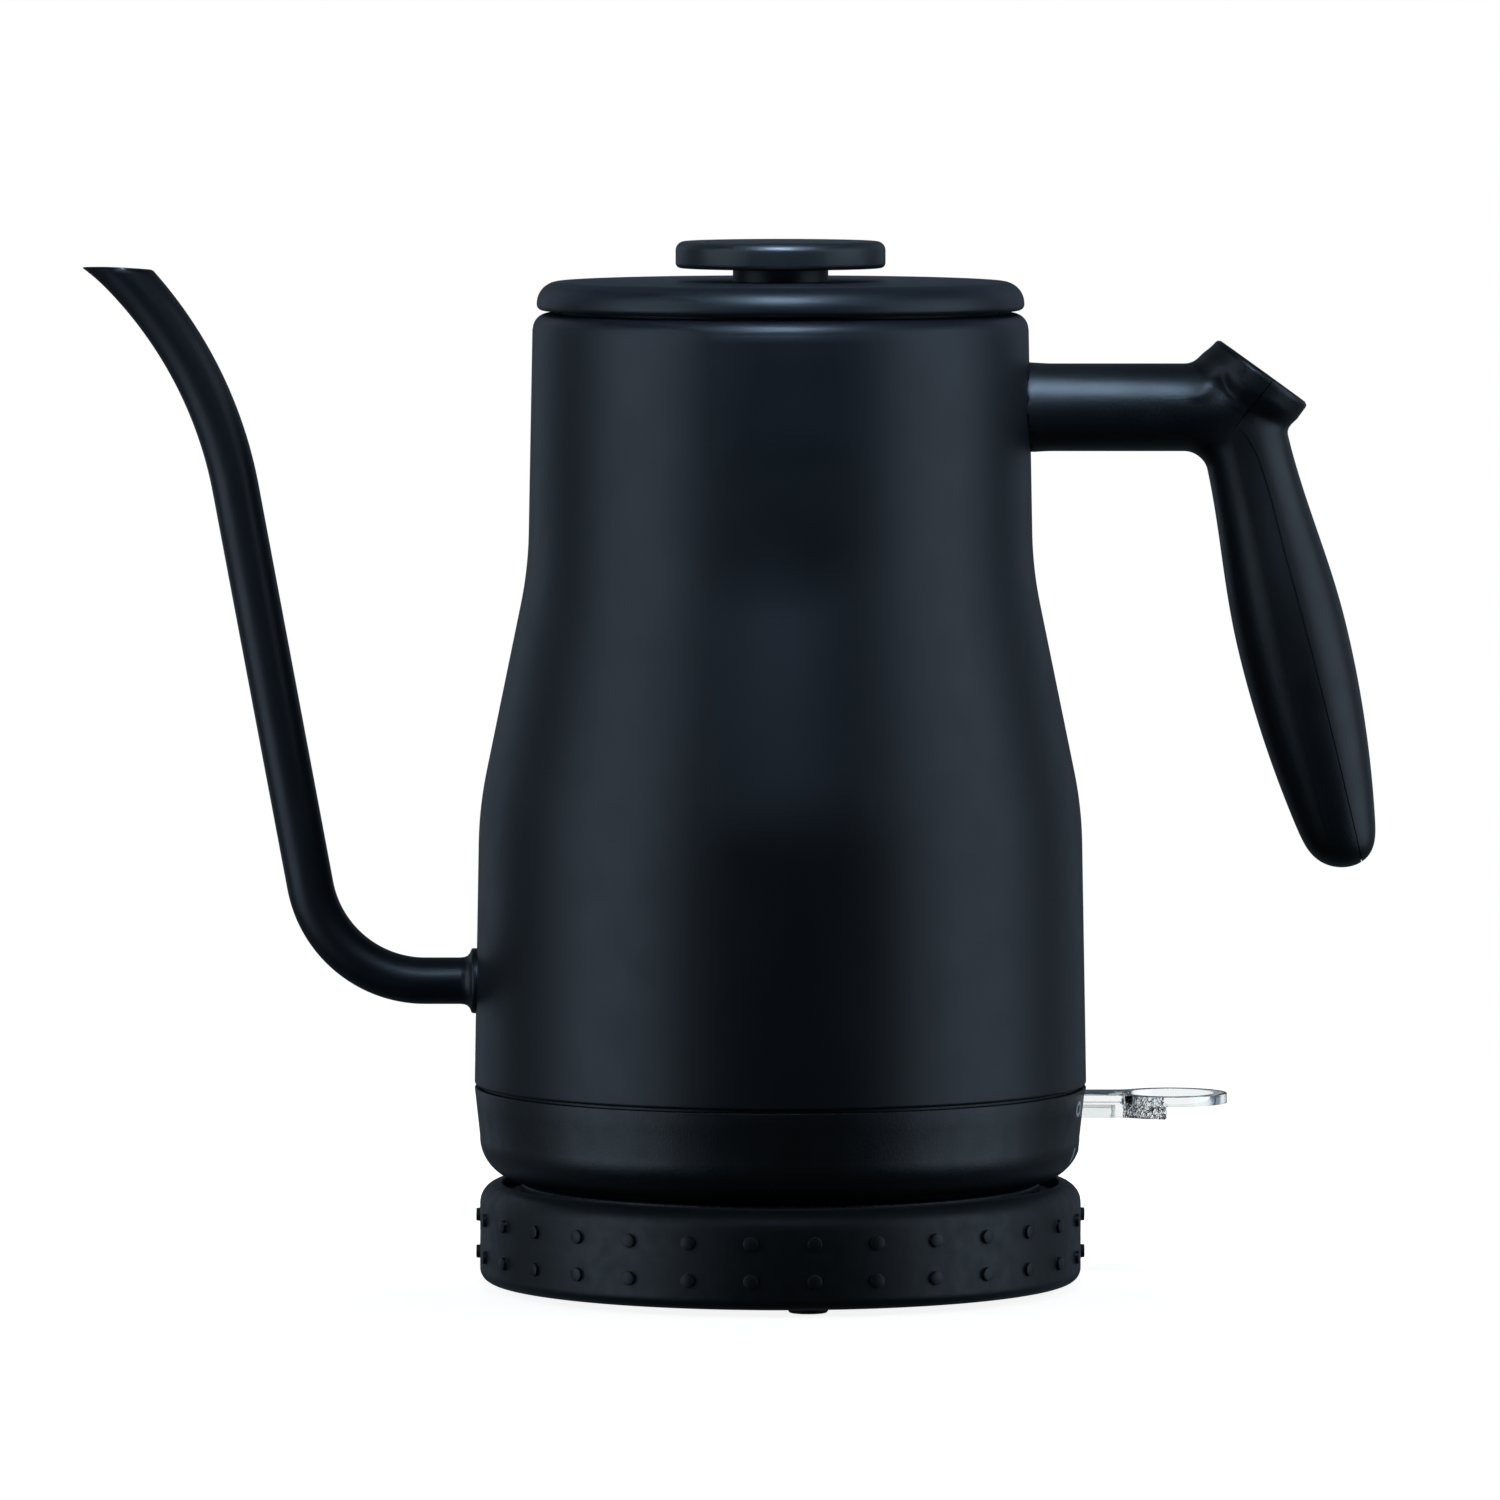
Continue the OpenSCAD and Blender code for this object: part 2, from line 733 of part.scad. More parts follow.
module lid_knob() {
    stem_r = 10;
    low = 1;
    edge = 2;
    top = knob_z + stem_h + knob_t;
    color("#1a1d1f") difference() {
        turn(concat(
            [[0, knob_z], [stem_r, knob_z], [stem_r, knob_z + stem_h]],
            arc([knob_r - low, knob_z + stem_h + low], low, -90, 0, 5),
            arc([knob_r - edge, top - edge], edge, 0, 90, 8),
            [[0, top]]
        ));
        translate([0, 0, knob_z - 1]) cylinder(r = 1.7, h = 7.5, $fn = 48);
    }
}

module knob_screw() {
    color("silver") translate([0, 0, knob_z - 1.4 - 2.2]) screw(1.65, 7.4, 4, 2.2);
}

base_bottom();
base_shell();
base_band();
base_feet();
base_screws();
base_connector();
connector_contacts();
terminal_block();
cord_gland();
connector_socket();
socket_contacts();
kettle_body();
vessel_floor();
spout();
spout_flange();
steam_tube();
heat_spreader();
heating_element();
control_unit();
bimetal_disc();
steam_switch();
collar();
collar_seal();
bottom_cover();
cover_screws();
switch_bracket();
bracket_screws();
switch_axle();
indicator_led();
switch_carrier();
switch_lever();
handle_bracket();
handle_front();
handle_back();
handle_bolt();
lid_cap();
lid_plug();
lid_seal();
lid_knob();
knob_screw();
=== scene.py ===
"""Looks for the electric gooseneck kettle: meshes, materials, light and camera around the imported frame."""

import math

import bmesh
import bpy
import numpy as np
from mathutils import Matrix, Vector


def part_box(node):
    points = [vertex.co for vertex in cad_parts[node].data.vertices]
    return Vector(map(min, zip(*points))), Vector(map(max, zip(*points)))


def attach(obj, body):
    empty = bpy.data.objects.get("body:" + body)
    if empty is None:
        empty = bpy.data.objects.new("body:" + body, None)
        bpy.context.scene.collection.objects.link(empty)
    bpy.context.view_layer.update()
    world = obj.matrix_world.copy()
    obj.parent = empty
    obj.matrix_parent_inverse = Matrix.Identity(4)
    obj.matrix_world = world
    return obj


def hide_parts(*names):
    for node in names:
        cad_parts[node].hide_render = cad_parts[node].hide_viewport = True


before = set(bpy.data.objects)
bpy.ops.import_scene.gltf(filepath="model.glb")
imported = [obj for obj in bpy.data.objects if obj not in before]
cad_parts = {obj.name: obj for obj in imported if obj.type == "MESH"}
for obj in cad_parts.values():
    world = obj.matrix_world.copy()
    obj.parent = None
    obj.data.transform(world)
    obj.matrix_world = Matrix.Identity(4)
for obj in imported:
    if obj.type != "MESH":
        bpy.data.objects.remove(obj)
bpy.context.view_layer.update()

# Lengths in this script are in millimetres and are turned into metres when a mesh is made.
MM = 0.001


def node_box(node):
    """Lowest and highest corners of a CAD node, in millimetres."""
    low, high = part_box(node)
    return [c / MM for c in low], [c / MM for c in high]


# ---------- Sizes, taken from the frame where a node gives them ----------

BODY_LOW, BODY_HIGH = node_box("kettle_body")
SEAM_Z = BODY_LOW[2] - 0.5
RIM_Z = BODY_HIGH[2]
WALL = 0.8
COLLAR_Z = node_box("collar")[0][2]
LID_LOW, LID_HIGH = node_box("lid_cap")
KNOB_LOW, KNOB_HIGH = node_box("lid_knob")
BAND_LOW, BAND_HIGH = node_box("base_band")
DECK_Z = node_box("base_shell")[1][2]
LEVER_LOW, LEVER_HIGH = node_box("switch_lever")

# The body's side: two nearly straight stretches joined by a cone. Its radius is RIM_R at RIM_R_Z
RIM_R, RIM_R_Z = 52.0, 202.0
WAIST_TOP_Z, WAIST_LOW_Z = 151.4, 101.3
LOW_SLOPE, MID_SLOPE, TOP_SLOPE = 0.018, 0.2055, 0.019
BLEND = 7.5

# The handle
ARM_Z, ARM_R = 185.2, 9.2
ELBOW_X = 95.7
LEAN = math.radians(13.6)
THUMB = math.radians(35.8)
THUMB_R, THUMB_H = 11.65, 9.3
GRIP_R, GRIP_LEN = 11.65, 99.4

# The spout
SPOUT_R = 4.9
SPOUT_Z = 64.6
SPOUT_BEND_X = -74.7
SPOUT_LOW_BEND, SPOUT_TOP_BEND = 24.5, 88.0
SPOUT_LEAN = math.radians(10.5)
SPOUT_RUN = 84.9
MOUTH_X, MOUTH_Z = -138.5, 214.4
MOUTH_TILT = math.radians(3)

# The base
BAND_R = 63.2
STUD_R, STUD_H = 1.4, 0.8
STUDS = 30
FRONT_ANGLE = -83.7
STUD_ROWS = (7.55, 15.35)
GLAND_Z = 11.45
GLAND_HOLE_R = 5.1


# ---------- Mesh helpers ----------

def make_piece(name, verts, faces, materials, sharp=32):
    """A mesh object from points in millimetres, smooth apart from edges sharper than an angle."""
    mesh = bpy.data.meshes.new(name)
    mesh.from_pydata((np.asarray(verts, float) * MM).tolist(), [], faces)
    for material in materials if isinstance(materials, (list, tuple)) else [materials]:
        mesh.materials.append(material)
    piece = bpy.data.objects.new(name, mesh)
    bpy.context.scene.collection.objects.link(piece)
    clean(piece)
    shade(piece, sharp)
    return piece


def clean(piece):
    """Merges doubled points and turns every face outwards."""
    bm = bmesh.new()
    bm.from_mesh(piece.data)
    bmesh.ops.remove_doubles(bm, verts=bm.verts, dist=1e-7)
    bmesh.ops.recalc_face_normals(bm, faces=bm.faces)
    bm.to_mesh(piece.data)
    bm.free()


def shade(piece, sharp=32):
    mesh = piece.data
    mesh.shade_smooth()
    mesh.set_sharp_from_angle(angle=math.radians(sharp))


def soften(points, steps=5):
    """A closed outline whose corners (x, y, radius) become arcs."""
    out = []
    for i, corner in enumerate(points):
        here = Vector(corner[:2])
        radius = corner[2] if len(corner) > 2 else 0
        if not radius:
            out.append(tuple(here))
            continue
        u = (Vector(points[i - 1][:2]) - here).normalized()
        v = (Vector(points[(i + 1) % len(points)][:2]) - here).normalized()
        half = math.acos(max(-1, min(1, u.dot(v)))) / 2
        centre = here + (u + v).normalized() * radius / math.sin(half)
        start = here + u * radius / math.tan(half) - centre
        sweep = start.angle_signed(here + v * radius / math.tan(half) - centre)
        for k in range(steps + 1):
            a = -sweep * k / steps
            out.append((centre.x + start.x * math.cos(a) - start.y * math.sin(a),
                        centre.y + start.x * math.sin(a) + start.y * math.cos(a)))
    return out


def lathe_mesh(outline, steps=256):
    """Points and faces of a closed outline (radius, height) turned round the Z axis."""
    verts, rings, faces = [], [], []
    for r, z in outline:
        if r < 1e-6:
            rings.append([len(verts)])
            verts.append((0, 0, z))
            continue
        rings.append([len(verts) + k for k in range(steps)])
        for k in range(steps):
            a = 2 * math.pi * k / steps
            verts.append((r * math.cos(a), r * math.sin(a), z))
    for a, b in zip(rings, rings[1:] + rings[:1]):
        if len(a) == 1 and len(b) == 1:
            continue
        for k in range(steps):
            n = (k + 1) % steps
            if len(a) == 1:
                faces.append((a[0], b[n], b[k]))
            elif len(b) == 1:
                faces.append((a[k], a[n], b[0]))
            else:
                faces.append((a[k], a[n], b[n], b[k]))
    return verts, faces


def lathe(name, outline, materials, steps=256, place=None, sharp=32):
    verts, faces = lathe_mesh(outline, steps)
    if place is not None:
        verts = [tuple(place @ Vector(v)) for v in verts]
    return make_piece(name, verts, faces, materials, sharp)


def prism_mesh(outline, low, high):
    """Points and faces of a closed outline in the XY plane, drawn up between two heights."""
    n = len(outline)
    verts = [(x, y, low) for x, y in outline] + [(x, y, high) for x, y in outline]
    faces = [tuple(range(n)), tuple(range(n, 2 * n))]
    faces += [(i, (i + 1) % n, n + (i + 1) % n, n + i) for i in range(n)]
    return verts, faces


def prism(name, outline, low, high, material, place=None):
    verts, faces = prism_mesh(outline, low, high)
    if place is not None:
        verts = [tuple(place @ Vector(v)) for v in verts]
    return make_piece(name, verts, faces, material)


def circle(x, y, r, n=64):
    return [(x + r * math.cos(2 * math.pi * k / n), y + r * math.sin(2 * math.pi * k / n)) for k in range(n)]


def set_from_modifiers(piece):
    """Turns a piece's modifiers into mesh."""
    bpy.context.view_layer.update()
    graph = bpy.context.evaluated_depsgraph_get()
    mesh = bpy.data.meshes.new_from_object(piece.evaluated_get(graph))
    piece.modifiers.clear()
    piece.data = mesh


def carve(piece, tool, operation="DIFFERENCE", sharp=32):
    """Cuts one piece by another, which is then removed."""
    boolean = piece.modifiers.new("carve", "BOOLEAN")
    boolean.object = tool
    boolean.operation = operation
    boolean.solver = "EXACT"
    set_from_modifiers(piece)
    bpy.data.objects.remove(tool)
    shade(piece, sharp)


def round_edges(piece, width, segments=3, angle=40):
    bevel = piece.modifiers.new("round", "BEVEL")
    bevel.width = width * MM
    bevel.segments = segments
    bevel.limit_method = "ANGLE"
    bevel.angle_limit = math.radians(angle)
    set_from_modifiers(piece)
    shade(piece, 40)


def join(name, pieces):
    """Joins pieces that are one moulding into the first of them."""
    with bpy.context.temp_override(active_object=pieces[0], selected_editable_objects=pieces,
                                   selected_objects=pieces, object=pieces[0]):
        bpy.ops.object.join()
    pieces[0].name = name
    return pieces[0]


def install(piece, body, slot, *nodes):
    """Puts a piece on its body and hides the nodes it stands for; the slot it is given is not used."""
    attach(piece, body)
    if nodes:
        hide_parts(*nodes)


# ---------- Materials ----------

class Finish:
    """A procedural material: a Principled shader and a few calls that feed it."""

    def __init__(self, name, colour, roughness, metallic=0.0, specular=0.5):
        self.material = bpy.data.materials.new(name)
        self.material.use_nodes = True
        self.nodes = self.material.node_tree.nodes
        self.links = self.material.node_tree.links
        self.shader = next(n for n in self.nodes if n.type == "BSDF_PRINCIPLED")
        self.shader.inputs["Base Color"].default_value = (*colour, 1)
        self.shader.inputs["Roughness"].default_value = roughness
        self.shader.inputs["Metallic"].default_value = metallic
        self.shader.inputs["Specular IOR Level"].default_value = specular
        self.place = self.nodes.new("ShaderNodeTexCoord").outputs["Object"]
        self.height = None

    def stretched(self, scale):
        """The object's own coordinates, scaled along each axis."""
        mapping = self.nodes.new("ShaderNodeMapping")
        mapping.inputs["Scale"].default_value = scale
        self.links.new(self.place, mapping.inputs["Vector"])
        return mapping.outputs["Vector"]

    def noise(self, size_mm, detail=2.0, roughness=0.5, vector=None):
        """Noise whose blotches are about size_mm across."""
        noise = self.nodes.new("ShaderNodeTexNoise")
        noise.inputs["Scale"].default_value = 1 / (size_mm * MM)
        noise.inputs["Detail"].default_value = detail
        noise.inputs["Roughness"].default_value = roughness
        self.links.new(vector or self.place, noise.inputs["Vector"])
        return noise.outputs["Fac"]

    def cells(self, size_mm):
        cells = self.nodes.new("ShaderNodeTexVoronoi")
        cells.inputs["Scale"].default_value = 1 / (size_mm * MM)
        self.links.new(self.place, cells.inputs["Vector"])
        return cells.outputs["Distance"]

    def spread(self, fac, low, high, start=0.3, end=0.7):
        """A value from low to high as fac goes from start to end."""
        ramp = self.nodes.new("ShaderNodeMapRange")
        ramp.inputs["From Min"].default_value = start
        ramp.inputs["From Max"].default_value = end
        ramp.inputs["To Min"].default_value = low
        ramp.inputs["To Max"].default_value = high
        self.links.new(fac, ramp.inputs["Value"])
        return ramp.outputs["Result"]

    def colour(self, fac, low, high, start=0.35, end=0.65):
        ramp = self.nodes.new("ShaderNodeValToRGB")
        ramp.color_ramp.elements[0].position = start
        ramp.color_ramp.elements[0].color = (*low, 1)
        ramp.color_ramp.elements[1].position = end
        ramp.color_ramp.elements[1].color = (*high, 1)
        self.links.new(fac, ramp.inputs["Fac"])
        self.links.new(ramp.outputs["Color"], self.shader.inputs["Base Color"])

    def rough(self, fac, low, high):
        self.links.new(self.spread(fac, low, high), self.shader.inputs["Roughness"])

    def bump(self, height, depth_mm, strength=1.0):
        """Adds relief of a given depth on top of what is there already."""
        bump = self.nodes.new("ShaderNodeBump")
        bump.inputs["Strength"].default_value = strength
        bump.inputs["Distance"].default_value = depth_mm * MM
        self.links.new(height, bump.inputs["Height"])
        if self.height is not None:
            self.links.new(self.height, bump.inputs["Normal"])
        self.height = bump.outputs["Normal"]
        self.links.new(self.height, self.shader.inputs["Normal"])

    def between(self, axis, start, end, fade):
        """1 between two places along an axis, and 0 beyond them."""
        split = self.nodes.new("ShaderNodeSeparateXYZ")
        self.links.new(self.place, split.inputs["Vector"])
        both = self.nodes.new("ShaderNodeMath")
        both.operation = "MULTIPLY"
        for k, (low, high) in enumerate(((start - fade, start), (end + fade, end))):
            self.links.new(self.spread(split.outputs[axis], 0, 1, low, high), both.inputs[k])
        return both.outputs["Value"]

    def radius(self):
        """Distance from the kettle's axis, and height."""
        split = self.nodes.new("ShaderNodeSeparateXYZ")
        self.links.new(self.place, split.inputs["Vector"])
        flat = self.nodes.new("ShaderNodeCombineXYZ")
        self.links.new(split.outputs["X"], flat.inputs["X"])
        self.links.new(split.outputs["Y"], flat.inputs["Y"])
        length = self.nodes.new("ShaderNodeVectorMath")
        length.operation = "LENGTH"
        self.links.new(flat.outputs["Vector"], length.inputs[0])
        return length.outputs["Value"], split.outputs["Z"]


def satin_paint():
    """Powder-coated steel: cold black, a fine orange peel under a finer grain."""
    paint = Finish("satin_paint", (0.0045, 0.0055, 0.008), 0.44)
    drift = paint.noise(38, 3)
    paint.colour(drift, (0.0036, 0.0044, 0.0068), (0.0052, 0.0062, 0.0092))
    paint.rough(paint.noise(9, 3), 0.42, 0.47)
    paint.bump(paint.noise(2.2, 2), 0.020, 0.5)
    paint.bump(paint.noise(0.42, 3, 0.6), 0.016, 0.8)
    return paint.material


def grained_plastic(name, colour, roughness=0.42, grain=0.028):
    """Moulded plastic with a fine spark-eroded grain."""
    plastic = Finish(name, colour, roughness, specular=0.55)
    drift = plastic.noise(30, 3)
    plastic.colour(drift, tuple(c * 0.9 for c in colour), tuple(c * 1.12 for c in colour))
    plastic.rough(plastic.noise(5, 3), roughness - 0.03, roughness + 0.04)
    plastic.bump(plastic.noise(0.75, 2, 0.6), grain, 0.7)
    plastic.bump(plastic.cells(0.36), grain * 0.7, 0.6)
    return plastic.material


def textured_deck():
    """The base's deck, with a coarse sparkling grain."""
    deck = Finish("deck_plastic", (0.02, 0.021, 0.022), 0.42)
    speck = deck.noise(0.55, 3, 0.7)
    deck.colour(speck, (0.006, 0.0065, 0.007), (0.06, 0.06, 0.062), 0.45, 0.62)
    deck.rough(deck.noise(0.8, 2), 0.3, 0.5)
    deck.bump(deck.noise(0.6, 3, 0.7), 0.09, 1.0)
    return deck.material


def soft_rubber(name, colour, roughness=0.46):
    rubber = Finish(name, colour, roughness, specular=0.5)
    rubber.shader.inputs["Sheen Weight"].default_value = 0.08
    rubber.shader.inputs["Sheen Roughness"].default_value = 0.4
    rubber.colour(rubber.noise(14, 3), tuple(c * 0.88 for c in colour), tuple(c * 1.15 for c in colour))
    rubber.rough(rubber.noise(3, 3), roughness - 0.05, roughness + 0.05)
    rubber.bump(rubber.noise(0.5, 3, 0.65), 0.022, 0.8)
    return rubber.material


def silicone():
    seal = Finish("silicone", (0.42, 0.43, 0.43), 0.45)
    seal.shader.inputs["Subsurface Weight"].default_value = 0.25
    seal.shader.inputs["Subsurface Scale"].default_value = 0.002
    seal.colour(seal.noise(6, 2), (0.38, 0.39, 0.39), (0.46, 0.47, 0.47))
    seal.bump(seal.noise(0.6, 2), 0.01, 0.6)
    return seal.material


def brushed_steel():
    """Drawn stainless steel: hair lines round the kettle, broken up along their length."""
    steel = Finish("brushed_steel", (0.56, 0.56, 0.57), 0.3, metallic=1.0)
    lines = steel.noise(0.35, 2, 0.6, steel.stretched((0.03, 0.03, 1)))
    steel.colour(lines, (0.48, 0.48, 0.49), (0.64, 0.64, 0.65))
    steel.rough(steel.noise(12, 3), 0.24, 0.36)
    steel.bump(lines, 0.006, 0.7)
    return steel.material


def spun_steel():
    """Stainless steel turned on a lathe: rings round the kettle's axis."""
    steel = Finish("spun_steel", (0.6, 0.6, 0.61), 0.26, metallic=1.0)
    radius, _ = steel.radius()
    rings = steel.nodes.new("ShaderNodeTexNoise")
    rings.noise_dimensions = "1D"
    rings.inputs["Scale"].default_value = 1 / (0.4 * MM)
    rings.inputs["Detail"].default_value = 3
    steel.links.new(radius, rings.inputs["W"])
    steel.colour(rings.outputs["Fac"], (0.5, 0.5, 0.51), (0.66, 0.66, 0.67))
    steel.rough(steel.noise(10, 3), 0.2, 0.34)
    steel.bump(rings.outputs["Fac"], 0.008, 0.7)
    return steel.material


def plain_metal(name, colour, roughness, grain_mm=0.8):
    metal = Finish(name, colour, roughness, metallic=1.0)
    metal.colour(metal.noise(7, 3), tuple(c * 0.9 for c in colour), tuple(min(1, c * 1.06) for c in colour))
    metal.rough(metal.noise(2, 3), roughness - 0.05, roughness + 0.08)
    metal.bump(metal.noise(grain_mm, 3), 0.008, 0.6)
    return metal.material


def clear_acrylic():
    """Clear moulded acrylic with faint flow lines, and painted shade: its colour turns grey-green where the
    surface is seen edge-on.
    """
    acrylic = Finish("clear_acrylic", (0.93, 0.965, 0.96), 0.035)
    acrylic.shader.inputs["Transmission Weight"].default_value = 1.0
    acrylic.shader.inputs["IOR"].default_value = 1.49
    # Painted shade: the colour darkens to grey-green where the surface is seen edge-on, standing in for the
    # dark edges that refraction gives
    edge = acrylic.nodes.new("ShaderNodeLayerWeight")
    edge.inputs["Blend"].default_value = 0.35
    acrylic.colour(edge.outputs["Facing"], (0.95, 0.975, 0.97), (0.42, 0.50, 0.50), 0.35, 0.95)
    acrylic.bump(acrylic.noise(9, 1), 0.02, 0.35)
    # Pressed facets on the block under the ring
    facets = acrylic.cells(0.9)
    for limit in (acrylic.between("X", 0.0735, 0.0805, 0.0015), acrylic.between("Z", 0.034, 0.0388, 0.0004)):
        product = acrylic.nodes.new("ShaderNodeMath")
        product.operation = "MULTIPLY"
        acrylic.links.new(facets, product.inputs[0])
        acrylic.links.new(limit, product.inputs[1])
        facets = product.outputs["Value"]
    acrylic.bump(facets, 0.7, 1.0)
    acrylic.rough(acrylic.noise(7, 2), 0.02, 0.05)
    return acrylic.material


def led_lens():
    lens = Finish("led_lens", (0.9, 0.42, 0.1), 0.12)
    lens.shader.inputs["Transmission Weight"].default_value = 0.6
    lens.colour(lens.noise(1.2, 2), (0.8, 0.36, 0.08), (0.95, 0.5, 0.14))
    return lens.material


def printed_white():
    ink = Finish("printed_white", (0.82, 0.84, 0.84), 0.45)
    ink.colour(ink.noise(0.5, 2), (0.76, 0.78, 0.78), (0.86, 0.87, 0.87))
    ink.bump(ink.noise(0.3, 2), 0.004, 0.5)
    return ink.material


PAINT = satin_paint()
PLASTIC = grained_plastic("black_plastic", (0.0042, 0.0048, 0.0052))
DARK_PLASTIC = grained_plastic("connector_plastic", (0.014, 0.015, 0.016), 0.45, 0.02)
PALE_PLASTIC = grained_plastic("heatproof_plastic", (0.42, 0.40, 0.35), 0.5)
DECK = textured_deck()
RUBBER = soft_rubber("band_rubber", (0.0040, 0.0046, 0.0050), 0.5)
FOOT = soft_rubber("foot_rubber", (0.022, 0.022, 0.023), 0.7)
SILICONE = silicone()
STEEL = brushed_steel()
SPUN = spun_steel()
SCREW = plain_metal("screw_steel", (0.5, 0.5, 0.51), 0.32)
BRASS = plain_metal("contact_brass", (0.62, 0.43, 0.17), 0.28)
ALUMINIUM = plain_metal("cast_aluminium", (0.62, 0.62, 0.63), 0.42, 1.4)
ACRYLIC = clear_acrylic()
LED = led_lens()
INK = printed_white()


# ---------- Vessel ----------

def soft_step(d):
    """0 below -BLEND, d above BLEND, and a parabola between."""
    if d <= -BLEND:
        return 0.0
    return d if d >= BLEND else (d + BLEND) ** 2 / (4 * BLEND)


def side_r(z):
    """Outer radius of the body at a height."""
    top = RIM_R + (RIM_R_Z - WAIST_TOP_Z) * TOP_SLOPE
    return (top - (z - WAIST_TOP_Z) * TOP_SLOPE
            + (MID_SLOPE - TOP_SLOPE) * soft_step(WAIST_TOP_Z - z)
            - (MID_SLOPE - LOW_SLOPE) * soft_step(WAIST_LOW_Z - z))


def side_line(low, high, inset, n=110):
    return [(side_r(z) - inset, z) for z in np.linspace(low, high, n)]


def kettle_body():
    """The painted shell, bare steel inside, with a rolled neck and the spout's hole."""
    low, curl = SEAM_Z + 0.5, 0.7
    shoulder, shelf_r, shelf_h = 3.4, 48.2, 6
    c = (side_r(RIM_Z) - shoulder, RIM_Z - shoulder)

    def turned(radius, start, end, n):
        return [(c[0] + radius * math.cos(a), c[1] + radius * math.sin(a))
                for a in np.radians(np.linspace(start, end, n))]

    foot_r = side_r(low + curl) - curl
    foot = [(foot_r + curl * math.cos(a), low + curl + curl * math.sin(a))
            for a in np.radians(np.linspace(-86, -4, 7))]
    neck = [(shelf_r, RIM_Z), (shelf_r, RIM_Z - shelf_h), (shelf_r + WALL, RIM_Z - shelf_h)]
    outline = (foot + side_line(low + curl, c[1], 0) + turned(shoulder, 3, 90, 16) + neck
               + turned(shoulder - WALL, 79, 3, 10) + side_line(low, c[1], WALL, 70)[::-1])
    body = lathe("kettle_body_skin", outline, [PAINT, STEEL], 320)
    neck_low = RIM_Z - 3
    for face in body.data.polygons:
        x, y, z = (c / MM for c in face.center)
        if math.hypot(x, y) < side_r(z) - WALL / 2 and z < neck_low:
            face.material_index = 1
    aim = Matrix.Translation((-50, 0, SPOUT_Z)) @ Matrix.Rotation(-math.pi / 2, 4, "Y")
    hole = prism("spout_hole", circle(0, 0, SPOUT_R + 0.05, 64), 0, 20, STEEL, aim)
    carve(body, hole)
    install(body, "kettle", "painted_steel", "kettle_body")


def spout_path():
    """The spout's middle line as (position, direction) up to its last bend, and that bend's centre."""
    c, s = math.cos(SPOUT_LEAN), math.sin(SPOUT_LEAN)
    centre = Vector((SPOUT_BEND_X, 0, SPOUT_Z + SPOUT_LOW_BEND))
    stations = [(Vector((x, 0, SPOUT_Z)), Vector((-1, 0, 0)))
                for x in np.linspace(-62.4, SPOUT_BEND_X, 7)[:-1]]
    for a in np.linspace(0, math.pi / 2 - SPOUT_LEAN, 37):
        away = Vector((-math.sin(a), 0, -math.cos(a)))
        stations.append((centre + away * SPOUT_LOW_BEND, Vector((-math.cos(a), 0, math.sin(a)))))
    start = stations[-1][0]
    up = Vector((-s, 0, c))
    stations += [(start + up * d, up) for d in np.linspace(0, SPOUT_RUN, 26)[1:-1]]
    top = start + up * SPOUT_RUN
    return stations, top - Vector((c, 0, s)) * SPOUT_TOP_BEND


def mouth_angle(centre, sweep_r, drop):
    """How far round the upper bend a line of the tube goes before it meets the mouth's plane."""
    flat = Vector((math.sin(MOUTH_TILT), 0, math.cos(MOUTH_TILT)))
    low, high = 0.0, math.radians(50)
    for _ in range(40):
        mid = (low + high) / 2
        a = SPOUT_LEAN + mid
        point = centre + Vector((math.cos(a), 0, math.sin(a))) * sweep_r
        if (point - Vector((MOUTH_X, 0, MOUTH_Z - drop))).dot(flat) < 0:
            low = mid
        else:
            high = mid
    return low


def spout_skin(radius, drop, columns=56, rows=44):
    """Rings of points along the spout at one radius; the last ring lies in the mouth's plane."""
    stations, centre = spout_path()
    rings = []
    for point, along in stations:
        side = Vector((0, 1, 0)).cross(along)
        rings.append([point + side * radius * math.cos(t) + Vector((0, 1, 0)) * radius * math.sin(t)
                      for t in np.linspace(0, 2 * math.pi, columns, endpoint=False)])
    ends = []
    for t in np.linspace(0, 2 * math.pi, columns, endpoint=False):
        # side = Y x along points away from the bend's centre
        ends.append(mouth_angle(centre, SPOUT_TOP_BEND + radius * math.cos(t), drop))
    for k in range(rows + 1):
        ring = []
        for i, t in enumerate(np.linspace(0, 2 * math.pi, columns, endpoint=False)):
            a = SPOUT_LEAN + ends[i] * k / rows
            # A slight flare of the pouring lip, on the bend's inner side, over the last few millimetres
            near = max(0.0, 1 - (ends[i] * SPOUT_TOP_BEND * (1 - k / rows)) / 7)
            flare = 0.28 * near * near * max(0.0, -math.cos(t))
            sweep = SPOUT_TOP_BEND + (radius + flare) * math.cos(t)
            ring.append(centre + Vector((math.cos(a), 0, math.sin(a))) * sweep
                        + Vector((0, 1, 0)) * radius * math.sin(t))
        rings.append(ring)
    return rings


def spout():
    """The gooseneck tube, hollow, with a softly rounded mouth."""
    edge = 0.22
    outer = spout_skin(SPOUT_R, edge)
    inner = spout_skin(SPOUT_R - WALL, edge)
    lip_out = spout_skin(SPOUT_R - edge, 0.02)[-1]
    lip_in = spout_skin(SPOUT_R - WALL + edge, 0.02)[-1]
    rings = outer + [lip_out, lip_in] + inner[::-1]
    n = len(rings[0])
    verts = [tuple(v) for ring in rings for v in ring]
    faces = []
    for j in range(len(rings)):
        a, b = j * n, ((j + 1) % len(rings)) * n
        faces += [(a + i, a + (i + 1) % n, b + (i + 1) % n, b + i) for i in range(n)]
    tube = make_piece("spout_tube", verts, faces, [PAINT, STEEL], 50)
    inner_faces = set(range((len(outer) + 2) * n, (len(rings) - 1) * n))
    for face in tube.data.polygons:
        if face.index in inner_faces:
            face.material_index = 1
    install(tube, "kettle", "painted_steel", "spout")


